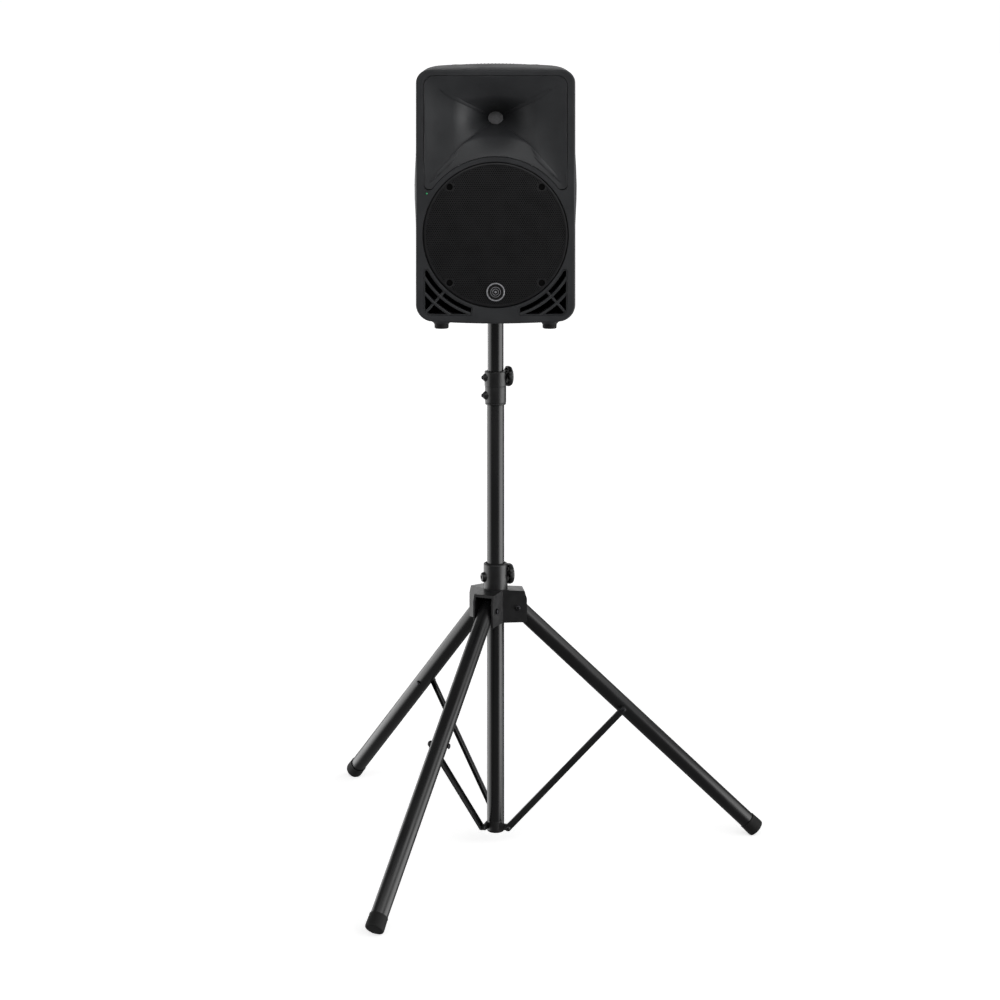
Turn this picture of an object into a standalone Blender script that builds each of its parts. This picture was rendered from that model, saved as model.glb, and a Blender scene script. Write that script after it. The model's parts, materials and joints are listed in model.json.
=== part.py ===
"""Powered two-way PA loudspeaker on a folding tripod stand.

Millimetres in the constants and helpers below, metres in the scene, +Z up.
Origin: centre of the flat underside of the column's rubber cap.  The column's
axis is the Z axis, the loudspeaker faces -Y and the floor is at GROUND.
Left is -X and right is +X.
"""

import math

import bmesh
import bpy
from mathutils import Matrix

for old in list(bpy.data.objects):
    bpy.data.objects.remove(old, do_unlink=True)

MM = 0.001

# ---------------------------------------------------------------- stand sizes
GROUND = -27.0            # floor level below the column's cap
COLUMN_R = 18.9           # outer tube of the column
COLUMN_BORE = 17.8
COLUMN_BOTTOM = 26.3
COLUMN_TOP = 975.0
CAP_TOP = 4.7
POLE_R = 17.5             # telescoping pole
POLE_BORE = 16.0
POLE_BOTTOM = 323.0
POLE_TOP = 1222.0
COLLAR_LOW, COLLAR_STEP, COLLAR_HIGH = 940.0, 980.0, 1014.0
EAR_HEIGHTS = {"upper": 1000.0, "lower": 960.5}
KNOB_TURN = math.radians(18.0)        # clamp knobs point right and a little back
UPPER_KNOB_Z = 1001.0
HUB_KNOB_Z = 565.0
HUB_NUT_Z = HUB_KNOB_Z - 4.0
THREAD_HOLE_R = 4.4                   # holes for the clamp knobs' screws

LEG_HEADING = 5.74                    # degrees from +X; the legs are 120 apart
LEG_TILT = math.radians(46.5)         # spread legs, measured from the vertical
LEG_LENGTH = 742.0                    # pivot to the end of the foot
LEG_R = 18.0
LEG_BORE = 16.4
LEG_OVERRUN = 11.0                    # tube above its pivot
LEG_GAP = 4.3                         # tube's lower end to the end of the foot
PIVOT_HOLE_R = 4.4
FOOT_R = 19.8
FOOT_BORE = LEG_R + 0.3
FOOT_LENGTH = 28.0
FOOT_FLOOR = 4.0                      # thickness of the foot's end
FOOT_CUT = 2.5                        # lets the foot's edge dip below the floor plane
HUB_PIVOT_R = 46.0
HUB_PIVOT_Z = (
    GROUND - FOOT_CUT + FOOT_R * math.sin(LEG_TILT) + LEG_LENGTH * math.cos(LEG_TILT)
)
HUB_BORE = 19.3
HUB_R = 26.5
HUB_LOW = HUB_PIVOT_Z - 32.0
HUB_ARM_TOP = HUB_PIVOT_Z + 37.0
HUB_TOP = HUB_PIVOT_Z + 95.0
ARM_REACH = 67.0
ARM_WIDTH = 47.0
ARM_SLOT = 38.8
ARM_ROOF = 5.5                        # left above the slot
SLOT_INNER = 24.2

BRACE_AT = 328.0                      # along the leg, from its pivot
BRACE_DROP = 6.0                      # below the leg's axis
FOOT_PIN_R = 25.0                     # lower pivot, out from the column's axis
FOOT_PIN_Z = 13.0
LUG_R = 6.0
BRACE_WIDTH = 14.0
BRACE_NEAR, BRACE_FAR = 19.3, 25.8    # sideways, from the leg's own plane
BRACE_WALL = 1.5
BRACE_HOLE_R = 3.4
BRACE_PIN_OUT = (
    HUB_PIVOT_R + BRACE_AT * math.sin(LEG_TILT) - BRACE_DROP * math.cos(LEG_TILT)
)
BRACE_PIN_UP = (
    HUB_PIVOT_Z - BRACE_AT * math.cos(LEG_TILT) - BRACE_DROP * math.sin(LEG_TILT)
)
BRACE_TILT = math.atan2(BRACE_PIN_OUT - FOOT_PIN_R, BRACE_PIN_UP - FOOT_PIN_Z)
BRACE_LENGTH = math.hypot(BRACE_PIN_OUT - FOOT_PIN_R, BRACE_PIN_UP - FOOT_PIN_Z)

# ---------------------------------------------------------------- loudspeaker sizes
HALF_W = 170.5
CAB_LOW, CAB_HIGH = 1143.0, 1679.0
FRONT = 158.0                         # front plane, forward of the column's axis
BAFFLE_BACK = 140.0
BACK = 158.0                          # rear plane, behind the column's axis
SHELL_WALL = 4.5
SHELL_SAG = 4.0                       # the underside bows down in the middle
SWELL_Z, SWELL_SPREAD = 1421.0, 75.0  # where the sides swell, and how far up and down
GRILLE_Z = 1325.6
GRILLE_R = 155.5
HORN_HALF_W = 152.5
HORN_TOP = 1665.0
HORN_TOP_R = 20.0
HORN_ARC = 168.0                      # lower edge, about the grille's centre
HORN_FILLET = 11.0
HORN_FRONT = FRONT - 0.6
HORN_DEPTH = 95.0
THROAT_Z = 1573.0
THROAT_R = 16.5
THROAT_FRONT = HORN_FRONT - HORN_DEPTH
PORT_OUT, PORT_IN = 153.0, 50.0
PORT_LOW, PORT_HIGH = 1156.5, 1252.0
PORT_ARC = 162.0
PORT_CORNER = 15.0
LOUVRES = (177.0, 196.0)              # radii about the grille's centre
LOUVRE_T = 5.0
RIB_ANGLE = math.radians(48.0)        # below the horizontal
RIB_HALF_T = 2.0
PORT_BARS = (141.0, 180.0)            # forward range of the louvre and rib blanks
CONE_FORWARD = 120.0
SCREWS = ((-98.5, 102.5), (98.5, 102.5), (-98.5, -102.5), (98.5, -102.5))
BADGE_Z = 1204.0
BADGE_R = 19.7
LED_X, LED_Z = -147.0, 1414.0
# distance from the middle, y, top height
CABINET_FEET = {"front": (116.0, -128.0, 1139.9), "rear": (72.0, 96.0, 1138.4)}
FOOT_PAD_Z = 1123.0
SIDES = {"left": -1, "right": 1}

# ---------------------------------------------------------------- rear panel sizes
PANEL_HALF_W = 82.0
PANEL_LOW, PANEL_HIGH = 1205.5, 1554.5
PANEL_FRONT = 146.0                   # y of the panel's inner face
PANEL_GAP = 0.5                       # between the panel and the shell
PANEL_RIM = 3.0
CONTROL_Y = 150.0
FIN_COUNT, FIN_PITCH, FIN_HALF_T = 9, 16.0, 1.4
# places on the panel, (x, z)
LEVEL_AT = (0.0, 1352.0)
BUTTONS = {"mic_line": (-42.0, 1352.0), "contour": (42.0, 1352.0)}
SOCKETS = {"input": (-40.0, 1300.0), "output": (40.0, 1300.0)}
INLET_X, INLET_Z = -34.0, 1240.0
SWITCH_X, SWITCH_Z = 34.0, 1240.0

# ---------------------------------------------------------------- set-up
PARTS = bpy.data.collections.new("pa_speaker")
CUTTERS = bpy.data.collections.new("cutters")
bpy.context.scene.collection.children.link(PARTS)
bpy.context.scene.collection.children.link(CUTTERS)


def material(name, colour, roughness, metallic=0.0):
    mat = bpy.data.materials.new(name)
    mat.use_nodes = True
    shader = mat.node_tree.nodes["Principled BSDF"]
    shader.inputs["Base Color"].default_value = (*colour, 1.0)
    shader.inputs["Roughness"].default_value = roughness
    shader.inputs["Metallic"].default_value = metallic
    return mat


COATED = material(
    "black_coated_metal", colour=(0.018, 0.018, 0.019), roughness=0.38, metallic=0.6
)
CAST = material("black_moulded_nylon", colour=(0.022, 0.022, 0.023), roughness=0.5)
CABINET = material("charcoal_moulded_cabinet", colour=(0.030, 0.031, 0.033), roughness=0.55)
GRILLE = material(
    "black_perforated_steel", colour=(0.010, 0.010, 0.011), roughness=0.5, metallic=0.5
)
RUBBER = material("black_rubber", colour=(0.016, 0.016, 0.016), roughness=0.8)
DARK_STEEL = material("blackened_steel", colour=(0.03, 0.03, 0.03), roughness=0.4, metallic=0.9)
PAPER = material("cone_paper", colour=(0.02, 0.02, 0.02), roughness=0.9)
BRIGHT = material("bright_ring", colour=(0.5, 0.5, 0.52), roughness=0.25, metallic=1.0)
GREEN = material("green_lens", colour=(0.05, 0.5, 0.1), roughness=0.3)
BOARD = material("circuit_board", colour=(0.02, 0.14, 0.05), roughness=0.5)
COPPER = material("varnished_winding", colour=(0.35, 0.13, 0.05), roughness=0.4, metallic=0.8)
MESH = material("throat_mesh", colour=(0.12, 0.12, 0.13), roughness=0.5, metallic=0.7)


# ---------------------------------------------------------------- frames
def place(x=0.0, y=0.0, z=0.0):
    return Matrix.Translation((x * MM, y * MM, z * MM))


def turn(angle, axis):
    return Matrix.Rotation(angle, 4, axis)


UPRIGHT = turn(math.pi / 2, "X")      # local (x, y, z) becomes (across, height, forward)
BACKWARD = turn(-math.pi / 2, "X")    # local Z points backward
RIGHTWARD = turn(math.pi / 2, "Y")    # local Z points right
KNOB_SIDE = turn(KNOB_TURN, "Z") @ RIGHTWARD            # outward, towards the knobs
EAR_SIDE = turn(math.pi + KNOB_TURN, "Z") @ RIGHTWARD   # outward, opposite the knobs
WOOFER_AT = UPRIGHT @ place(0, GRILLE_Z)
THROAT_AT = UPRIGHT @ place(0, THROAT_Z)
LEG_SPINS = {
    "right": turn(math.radians(LEG_HEADING), "Z"),
    "front": turn(math.radians(LEG_HEADING - 120.0), "Z"),
    "rear": turn(math.radians(LEG_HEADING + 120.0), "Z"),
}


def empty(name, matrix):
    """Unparented axis that moving or grouped pieces hang from."""
    axis = bpy.data.objects.new(name, None)
    PARTS.objects.link(axis)
    axis.empty_display_size = 0.02
    axis.matrix_local = matrix
    return axis


def within(parent, frame=Matrix()):
    """Placement under an unturned empty, for a frame given in scene coordinates."""
    return {"matrix": Matrix.Translation(-parent.location) @ frame, "parent": parent}


# ---------------------------------------------------------------- solids
def add(name, mesh, mat=None, matrix=None, parent=None, sharp=32.0):
    """Object for a mesh; one without a material is a hidden helper for booleans."""
    piece = bpy.data.objects.new(name, mesh)
    if mat is None:
        CUTTERS.objects.link(piece)
        piece.hide_render = True
        piece.display_type = "WIRE"
    else:
        PARTS.objects.link(piece)
        mesh.materials.append(mat)
    piece.parent = parent
    piece.matrix_local = matrix if matrix is not None else Matrix()
    mesh.shade_smooth()
    mesh.set_sharp_from_angle(angle=math.radians(sharp))
    return piece


def boolean(piece, other, operation):
    mod = piece.modifiers.new(other.name, "BOOLEAN")
    mod.operation = operation
    mod.solver = "EXACT"
    mod.object = other


def cut(piece, other):
    boolean(piece, other, "DIFFERENCE")


def join(piece, other):
    boolean(piece, other, "UNION")


def bevel(piece, width, segments):
    mod = piece.modifiers.new("edges", "BEVEL")
    mod.width = width * MM
    mod.segments = segments
    mod.limit_method = "ANGLE"
    mod.angle_limit = math.radians(40.0)


def mesh_from(name, bm):
    mesh = bpy.data.meshes.new(name)
    bm.to_mesh(mesh)
    bm.free()
    return mesh


def lathe(name, profile, mat=None, segments=32, ring=False, matrix=None, parent=None):
    """Turned piece from (radius, height) points; a ring joins the last to the first."""
    mesh = bpy.data.meshes.new(name)
    count = len(profile)
    edges = [(i, i + 1) for i in range(count - 1)]
    if ring:
        edges.append((count - 1, 0))
    mesh.from_pydata([(radius * MM, 0.0, z * MM) for radius, z in profile], edges, [])
    piece = add(name, mesh, mat, matrix, parent)
    mod = piece.modifiers.new("turned", "SCREW")
    mod.axis = "Z"
    mod.angle = 2 * math.pi
    mod.steps = segments
    mod.render_steps = segments
    mod.use_merge_vertices = True
    mod.merge_threshold = 0.000002
    mod.use_smooth_shade = True
    return piece


def rod(name, radius, low, high, mat=None, segments=16, matrix=None, parent=None):
    """Plain cylinder along local Z."""
    bm = bmesh.new()
    bmesh.ops.create_cone(
        bm,
        cap_ends=True,
        segments=segments,
        radius1=radius * MM,
        radius2=radius * MM,
        depth=(high - low) * MM,
    )
    bmesh.ops.translate(bm, verts=bm.verts, vec=(0, 0, (high + low) / 2 * MM))
    return add(name, mesh_from(name, bm), mat, matrix, parent)


def block(name, low, high, mat=None, matrix=None, parent=None):
    """Box between two corners."""
    bm = bmesh.new()
    bmesh.ops.create_cube(bm, size=1.0)
    size = [(b - a) * MM for a, b in zip(low, high)]
    centre = [(b + a) / 2 * MM for a, b in zip(low, high)]
    bmesh.ops.scale(bm, verts=bm.verts, vec=size)
    bmesh.ops.translate(bm, verts=bm.verts, vec=centre)
    return add(name, mesh_from(name, bm), mat, matrix, parent)


def plate(name, loops, low, high, mat=None, matrix=None, parent=None):
    """Flat outline, with any inner loops as holes, between two local heights."""
    curve = bpy.data.curves.new(name + "_outline", "CURVE")
    curve.dimensions = "2D"
    curve.fill_mode = "BOTH"
    curve.extrude = (high - low) / 2 * MM
    for loop in loops:
        spline = curve.splines.new("POLY")
        spline.points.add(len(loop) - 1)
        for point, (x, y) in zip(spline.points, loop):
            point.co = (x * MM, y * MM, 0.0, 1.0)
        spline.use_cyclic_u = True
    guide = bpy.data.objects.new(name + "_outline", curve)
    CUTTERS.objects.link(guide)
    bpy.context.view_layer.update()
    graph = bpy.context.evaluated_depsgraph_get()
    mesh = bpy.data.meshes.new_from_object(guide.evaluated_get(graph))
    mesh.name = name
    bpy.data.objects.remove(guide, do_unlink=True)
    bpy.data.curves.remove(curve)
    # weld the curve's separate caps and sides into one solid
    bm = bmesh.new()
    bm.from_mesh(mesh)
    bmesh.ops.remove_doubles(bm, verts=bm.verts, dist=0.000005)
    bmesh.ops.translate(bm, verts=bm.verts, vec=(0, 0, (high + low) / 2 * MM))
    bmesh.ops.recalc_face_normals(bm, faces=bm.faces)
    bm.to_mesh(mesh)
    bm.free()
    mesh.materials.clear()
    return add(name, mesh, mat, matrix, parent)


def loft(rings):
    """Open bmesh skin through equal rings of points, with the last ring returned."""
    bm = bmesh.new()
    loops = [[bm.verts.new((x * MM, y * MM, z * MM)) for x, y, z in ring] for ring in rings]
    for near, far in zip(loops, loops[1:]):
        for i in range(len(near)):
            j = (i + 1) % len(near)
            bm.faces.new((near[i], near[j], far[j], far[i]))
    return bm, loops[-1]


# ---------------------------------------------------------------- outlines
def arc(centre_x, centre_y, radius, start, end, count):
    """Points on an arc, in degrees, both ends included."""
    angles = [math.radians(start + (end - start) * i / count) for i in range(count + 1)]
    return [
        (centre_x + radius * math.cos(angle), centre_y + radius * math.sin(angle))
        for angle in angles
    ]


def between(start, end, count):
    """Evenly spaced values strictly between two ends."""
    return [start + (end - start) * i / (count + 1) for i in range(1, count + 1)]


def bar_outline(length, radius):
    """Round-ended bar hanging down from the origin."""
    return arc(0, 0, radius, 0, 180, 5) + arc(0, -length, radius, 180, 360, 5)


def window(x, z, half_w, half_h):
    return [
        (x - half_w, z - half_h),
        (x + half_w, z - half_h),
        (x + half_w, z + half_h),
        (x - half_w, z + half_h),
    ]


def circle(x, z, radius):
    return arc(x, z, radius, 0, 360, 20)[:-1]


def cabinet_outline(half_w, low, high, top_r, low_r, crown=0.0, bulge=0.0):
    """Cabinet cross-section, anticlockwise seen from the front, from the upper right."""
    top_x, top_z = half_w - top_r, high - top_r
    low_x, low_z = half_w - low_r, low + low_r
    points = arc(top_x, top_z, top_r, 0, 90, 4)
    points += [(x, high) for x in between(top_x, -top_x, 4)]
    points += arc(-top_x, top_z, top_r, 90, 180, 4)
    points += [(-half_w, z) for z in between(top_z, low_z, 4)]
    points += arc(-low_x, low_z, low_r, 180, 270, 4)
    points += [(x, low) for x in between(-low_x, low_x, 4)]
    points += arc(low_x, low_z, low_r, 270, 360, 4)
    points += [(half_w, z) for z in between(low_z, top_z, 4)]
    middle = (low + high) / 2
    shaped = []
    for x, z in points:
        bow = crown if z > middle else -SHELL_SAG
        fade = math.exp(-(((z - SWELL_Z) / SWELL_SPREAD) ** 2))
        swell = bulge * fade * (abs(x) / half_w) ** 6
        shaped.append((x + math.copysign(swell, x), z + bow * (1 - (x / half_w) ** 2)))
    return shaped


def horn_outline(gap):
    """Outline of the horn panel; its lower edge follows the grille."""
    half_w = HORN_HALF_W - gap
    top = HORN_TOP - gap
    land = HORN_ARC + gap
    fillet = HORN_FILLET - gap * 0.4
    top_r = HORN_TOP_R - gap
    top_x, top_z = half_w - top_r, top - top_r
    low_x = half_w - fillet
    low_z = GRILLE_Z + math.sqrt((land + fillet) ** 2 - low_x * low_x)
    lean = math.degrees(math.atan2(low_z - GRILLE_Z, low_x))
    points = arc(top_x, top_z, top_r, 0, 90, 3)
    points += [(x, top) for x in between(top_x, -top_x, 6)]
    points += arc(-top_x, top_z, top_r, 90, 180, 3)
    points += [(-half_w, z) for z in between(top_z, low_z, 4)]
    points += arc(-low_x, low_z, fillet, 180, 360 - lean, 3)
    points += arc(0, GRILLE_Z, land, 180 - lean, lean, 12)[1:-1]
    points += arc(low_x, low_z, fillet, 180 + lean, 360, 3)
    points += [(half_w, z) for z in between(low_z, top_z, 4)]
    return points


def port_outline(side, gap):
    """Outline of a corner port, between the cabinet's corner and the grille."""
    outer, inner = PORT_OUT - gap, PORT_IN + gap
    low, high = PORT_LOW + gap, PORT_HIGH - gap
    land = PORT_ARC + gap
    corner = PORT_CORNER - gap
    start = math.degrees(math.asin((GRILLE_Z - high) / land))
    end = math.degrees(math.acos(inner / land))
    points = [(inner, low)]
    points += arc(outer - corner, low + corner, corner, 270, 360, 4)
    points += [(outer, high)]
    points += arc(0, GRILLE_Z, land, -start, -end, 10)
    return [(side * x, z) for x, z in points]


# ================================================================ column
def build_column():
    lathe(
        "main_tube",
        [
            (COLUMN_R, COLUMN_TOP), (COLUMN_R, COLUMN_BOTTOM),
            (COLUMN_BORE, COLUMN_BOTTOM), (COLUMN_BORE, COLUMN_TOP),
        ],
        COATED,
        ring=True,
    )
    lathe(
        "tube_bottom_cap",
        [
            (0, CAP_TOP), (18.6, CAP_TOP), (18.9, 4.3), (18.7, 2.6),
            (17.6, 0.9), (15.6, 0.0), (0, 0),
        ],
        RUBBER,
        24,
    )


def build_bottom_bracket():
    """Plug in the tube's foot with a lug for each brace."""
    bracket = lathe(
        "bottom_bracket",
        [(0, 60), (17.4, 60), (17.4, 26.0), (COLUMN_R, 26.0), (COLUMN_R, 5.0), (0, 5.0)],
        COATED,
    )
    outline = [(6.0, 6.0), (FOOT_PIN_R, FOOT_PIN_Z - LUG_R)]
    outline += arc(FOOT_PIN_R, FOOT_PIN_Z, LUG_R, -80, 80, 6)
    outline += [(FOOT_PIN_R, FOOT_PIN_Z + LUG_R), (6.0, 22.0)]
    for leg, spin in LEG_SPINS.items():
        join(bracket, plate("lug_" + leg, [outline], 12.6, 19.0, matrix=spin @ UPRIGHT))


def build_collar():
    """Collar on top of the tube, with two screwed ears opposite its knob."""
    collar = lathe(
        "upper_collar",
        [
            (23.2, COLLAR_HIGH), (24.3, COLLAR_HIGH - 1.5),
            (24.3, COLLAR_STEP + 0.8), (23.3, COLLAR_STEP),
            (23.3, COLLAR_LOW + 1.5), (22.4, COLLAR_LOW), (19.2, COLLAR_LOW),
            (19.2, COLUMN_TOP + 0.3), (17.8, COLUMN_TOP + 0.3), (17.8, COLLAR_HIGH),
        ],
        CAST,
        ring=True,
    )
    knob_at = place(z=UPPER_KNOB_Z) @ KNOB_SIDE
    ear_profile = [(0, 29.6), (5.5, 29.6), (8.6, 26.0), (8.6, 21.0), (0, 21.0)]
    screw_profile = [
        (0, 32.6), (2.6, 32.2), (4.2, 31.0), (4.2, 29.9), (2.0, 29.9), (2.0, 23.4), (0, 23.4),
    ]
    join(collar, rod("collar_boss", 8.0, 19.6, 25.6, matrix=knob_at))
    for which, height in EAR_HEIGHTS.items():
        ear_at = place(z=height) @ EAR_SIDE
        join(collar, lathe("ear_" + which, ear_profile, segments=16, matrix=ear_at))
    cut(collar, rod("collar_thread", THREAD_HOLE_R, 10, 40, matrix=knob_at))
    for which, height in EAR_HEIGHTS.items():
        ear_at = place(z=height) @ EAR_SIDE
        cut(collar, rod("ear_hole_" + which, 2.4, 23.0, 40, segments=12, matrix=ear_at))
        lathe("collar_screw_" + which, screw_profile, DARK_STEEL, 16, matrix=ear_at)


# (radius, distance outward from the rim), from the middle of the outer face,
# over the rim and in to the root of the screw
KNOB_CUP = (
    (0, 11.5), (13.0, 11.5), (19.0, 10.8), (22.0, 8.8), (22.6, 6.0), (22.6, 2.4),
    (21.6, 0), (19.6, 0), (18.6, 1.6), (18.2, 7.4), (7.0, 7.8), (7.0, 1.6), (3.9, 1.4),
)


def clamp_knob(name, height, tip, rim):
    """Cup-shaped hand knob with its screw, open towards the column."""
    axis = empty(name + "_axis", place(z=height) @ KNOB_SIDE)
    profile = [(radius, rim + out) for radius, out in KNOB_CUP]
    profile += [(3.9, tip), (0, tip)]
    lathe(name, profile, CAST, 24, parent=axis)


# ================================================================ sliding hub
def build_hub():
    """Hub that slides on the tube, with a slotted arm for each leg."""
    slide = empty("hub_slide", place(z=HUB_PIVOT_Z))
    hub = rod("leg_hub", HUB_R, HUB_LOW, HUB_TOP, CAST, 32, **within(slide))
    for leg, spin in LEG_SPINS.items():
        arm = block(
            "arm_" + leg,
            (0, -ARM_WIDTH / 2, HUB_LOW),
            (ARM_REACH, ARM_WIDTH / 2, HUB_ARM_TOP),
            **within(slide, spin),
        )
        bevel(arm, 1.5, 1)
        join(hub, arm)

    nut_at = within(slide, place(z=HUB_NUT_Z) @ EAR_SIDE)
    knob_at = within(slide, place(z=HUB_KNOB_Z) @ KNOB_SIDE)
    boss_profile = [(0, 33.0), (7.0, 33.0), (10.5, 30.5), (10.5, 21.5), (0, 21.5)]
    join(hub, lathe("hub_nut_boss", boss_profile, segments=20, **nut_at))
    bore = rod("hub_bore", HUB_BORE, HUB_LOW - 5, HUB_TOP + 5, segments=32, **within(slide))
    cut(hub, bore)
    cut(hub, rod("hub_thread", THREAD_HOLE_R, 10, 40, **knob_at))
    cut(hub, rod("hub_nut_hole", 4.0, 27, 40, **nut_at))

    for leg, spin in LEG_SPINS.items():
        slot = block(
            "slot_" + leg,
            (SLOT_INNER, -ARM_SLOT / 2, HUB_LOW - 5),
            (ARM_REACH + 5, ARM_SLOT / 2, HUB_ARM_TOP - ARM_ROOF),
            **within(slide, spin),
        )
        cut(hub, slot)
    bolt_profile = [
        (0, 28.0), (4.5, 28.0), (6.6, 26.4), (6.6, 23.9), (4.0, 23.9),
        (4.0, -23.9), (6.6, -23.9), (6.6, -26.6), (5.6, -27.6), (0, -27.6),
    ]
    for leg, spin in LEG_SPINS.items():
        across = within(slide, spin @ place(HUB_PIVOT_R, 0, HUB_PIVOT_Z) @ UPRIGHT)
        cut(hub, rod("pivot_hole_" + leg, PIVOT_HOLE_R, -40, 40, segments=10, **across))
        lathe("leg_pivot_bolt_" + leg, bolt_profile, DARK_STEEL, 12, **across)


# ================================================================ legs and braces
def build_leg_tube(leg, pivot, brace_at):
    end = -(LEG_LENGTH - LEG_GAP)
    tube = lathe(
        "leg_tube_" + leg,
        [(LEG_R, LEG_OVERRUN), (LEG_R, end), (LEG_BORE, end), (LEG_BORE, LEG_OVERRUN)],
        COATED,
        24,
        ring=True,
        parent=pivot,
    )
    for name, radius, at in (
        ("leg_pivot_hole_", PIVOT_HOLE_R, UPRIGHT),
        ("brace_hole_", BRACE_HOLE_R, brace_at),
    ):
        cut(tube, rod(name + leg, radius, -30, 30, segments=10, matrix=at, parent=pivot))


def build_leg_foot(leg, pivot):
    """Rubber cup on the leg's end, trimmed level with the floor."""
    lip = -(LEG_LENGTH - FOOT_LENGTH)
    end = -LEG_LENGTH
    foot = lathe(
        "leg_foot_" + leg,
        [
            (0, end + FOOT_FLOOR), (FOOT_BORE, end + FOOT_FLOOR), (FOOT_BORE, lip),
            (FOOT_R - 0.6, lip), (FOOT_R, lip - 0.8), (FOOT_R, end + 2.0),
            (FOOT_R - 0.6, end + 0.6), (FOOT_R - 2.0, end), (0, end),
        ],
        RUBBER,
        24,
        parent=pivot,
    )
    cut(foot, block("floor_" + leg, (-1200, -1200, GROUND - 60), (1200, 1200, GROUND)))


def build_brace_bolt(leg, pivot, brace_at):
    """Bolt through the leg that carries the brace."""
    web = BRACE_FAR - BRACE_WALL - 0.3
    side = LEG_R + 0.4
    lathe(
        "brace_bolt_" + leg,
        [
            (0, BRACE_FAR + 3.2), (3.6, BRACE_FAR + 3.2), (5.4, BRACE_FAR + 2.0),
            (5.4, BRACE_FAR + 0.3), (3.0, BRACE_FAR + 0.3),
            (3.0, web), (5.0, web), (5.0, side), (3.0, side), (3.0, -side), (5.4, -side),
            (5.4, -LEG_R - 2.2), (3.6, -LEG_R - 3.4), (0, -LEG_R - 3.4),
        ],
        DARK_STEEL,
        12,
        matrix=brace_at,
        parent=pivot,
    )


def build_brace(leg, spin):
    """Channel with its open side towards the leg's plane, with a pin at its lower end."""
    strut = empty(
        "brace_axis_" + leg,
        spin @ place(BRACE_PIN_OUT, 0, BRACE_PIN_UP) @ turn(BRACE_TILT, "Y"),
    )
    sideways = {"matrix": UPRIGHT, "parent": strut}
    half = BRACE_WIDTH / 2
    outside = [bar_outline(BRACE_LENGTH, half)]
    inside = [bar_outline(BRACE_LENGTH, half - BRACE_WALL)]
    brace = plate("brace_" + leg, outside, BRACE_NEAR, BRACE_FAR, COATED, **sideways)
    cut(
        brace,
        plate("channel_" + leg, inside, BRACE_NEAR - 3, BRACE_FAR - BRACE_WALL, **sideways),
    )
    cut(brace, rod("brace_eye_" + leg, BRACE_HOLE_R, 10, 40, segments=10, **sideways))
    pin = lathe(
        "brace_pin_" + leg,
        [
            (0, BRACE_FAR + 2.6), (2.6, BRACE_FAR + 2.2), (4.4, BRACE_FAR + 0.8),
            (4.4, BRACE_FAR - 0.7), (2.6, BRACE_FAR - 0.7),
            (2.6, BRACE_NEAR + 0.1), (0, BRACE_NEAR + 0.1),
        ],
        segments=12,
        matrix=place(z=-BRACE_LENGTH) @ UPRIGHT,
        parent=strut,
    )
    join(brace, pin)


def build_leg(leg, spin):
    pivot = empty(
        "leg_axis_" + leg,
        spin @ place(HUB_PIVOT_R, 0, HUB_PIVOT_Z) @ turn(-LEG_TILT, "Y"),
    )
    brace_at = place(-BRACE_DROP, 0, -BRACE_AT) @ UPRIGHT
    build_leg_tube(leg, pivot, brace_at)
    build_leg_foot(leg, pivot)
    build_brace_bolt(leg, pivot, brace_at)
    build_brace(leg, spin)


# ================================================================ telescoping pole
def build_pole():
    slide = empty("height_slide", place(z=POLE_BOTTOM))
    lathe(
        "pole_glide",
        [(0, 22.0), (15.6, 22.0), (15.6, -0.3), (17.4, -0.3), (17.4, -22.0), (0, -22.0)],
        CAST,
        24,
        parent=slide,
    )
    length = POLE_TOP - POLE_BOTTOM
    lathe(
        "inner_pole",
        [
            (POLE_R - 0.8, length), (POLE_R, length - 0.8), (POLE_R, 0),
            (POLE_BORE, 0), (POLE_BORE, length),
        ],
        COATED,
        ring=True,
        parent=slide,
    )


# ================================================================ cabinet
def build_baffle(cabinet):
    """Front board with openings for the horn, the ports, the woofer and the LED."""
    baffle = plate(
        "front_baffle",
        [
            cabinet_outline(HALF_W, CAB_LOW, CAB_HIGH, top_r=29.0, low_r=34.0),
            horn_outline(-1.0),
            port_outline(-1, -0.4),
            port_outline(1, -0.4),
        ],
        BAFFLE_BACK,
        FRONT,
        CABINET,
        **within(cabinet, UPRIGHT),
    )
    bevel(baffle, 2.2, 1)
    for name, radius, low, segments in (
        ("grille_recess", GRILLE_R + 0.8, 150.0, 48),
        ("frame_ledge", 132.4, 146.0, 24),
        ("driver_hole", 121.5, 130.0, 24),
    ):
        woofer_at = within(cabinet, WOOFER_AT)
        cut(baffle, rod(name, radius, low, 175, segments=segments, **woofer_at))
    led_at = within(cabinet, UPRIGHT @ place(LED_X, LED_Z))
    cut(baffle, rod("led_hole", 2.4, 130, 170, segments=12, **led_at))


# y, half width, low, high, top radius, low radius, crown, bulge; front to back
SHELL_SECTIONS = (
    (-139.7, 170.5, 1143.0, 1679.0, 30.0, 34.0, 0.0, 0.0),
    (-122.0, 170.5, 1143.0, 1680.0, 32.0, 36.0, 3.0, 2.0),
    (-60.0, 171.0, 1142.5, 1682.0, 38.0, 40.0, 8.0, 5.0),
    (20.0, 160.0, 1142.0, 1683.0, 44.0, 44.0, 8.0, 4.0),
    (90.0, 130.0, 1142.0, 1680.0, 46.0, 44.0, 7.0, 0.0),
    (148.0, 104.0, 1146.0, 1672.0, 42.0, 40.0, 5.0, 0.0),
    (158.0, 97.0, 1154.0, 1663.0, 36.0, 34.0, 4.0, 0.0),
)


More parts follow.
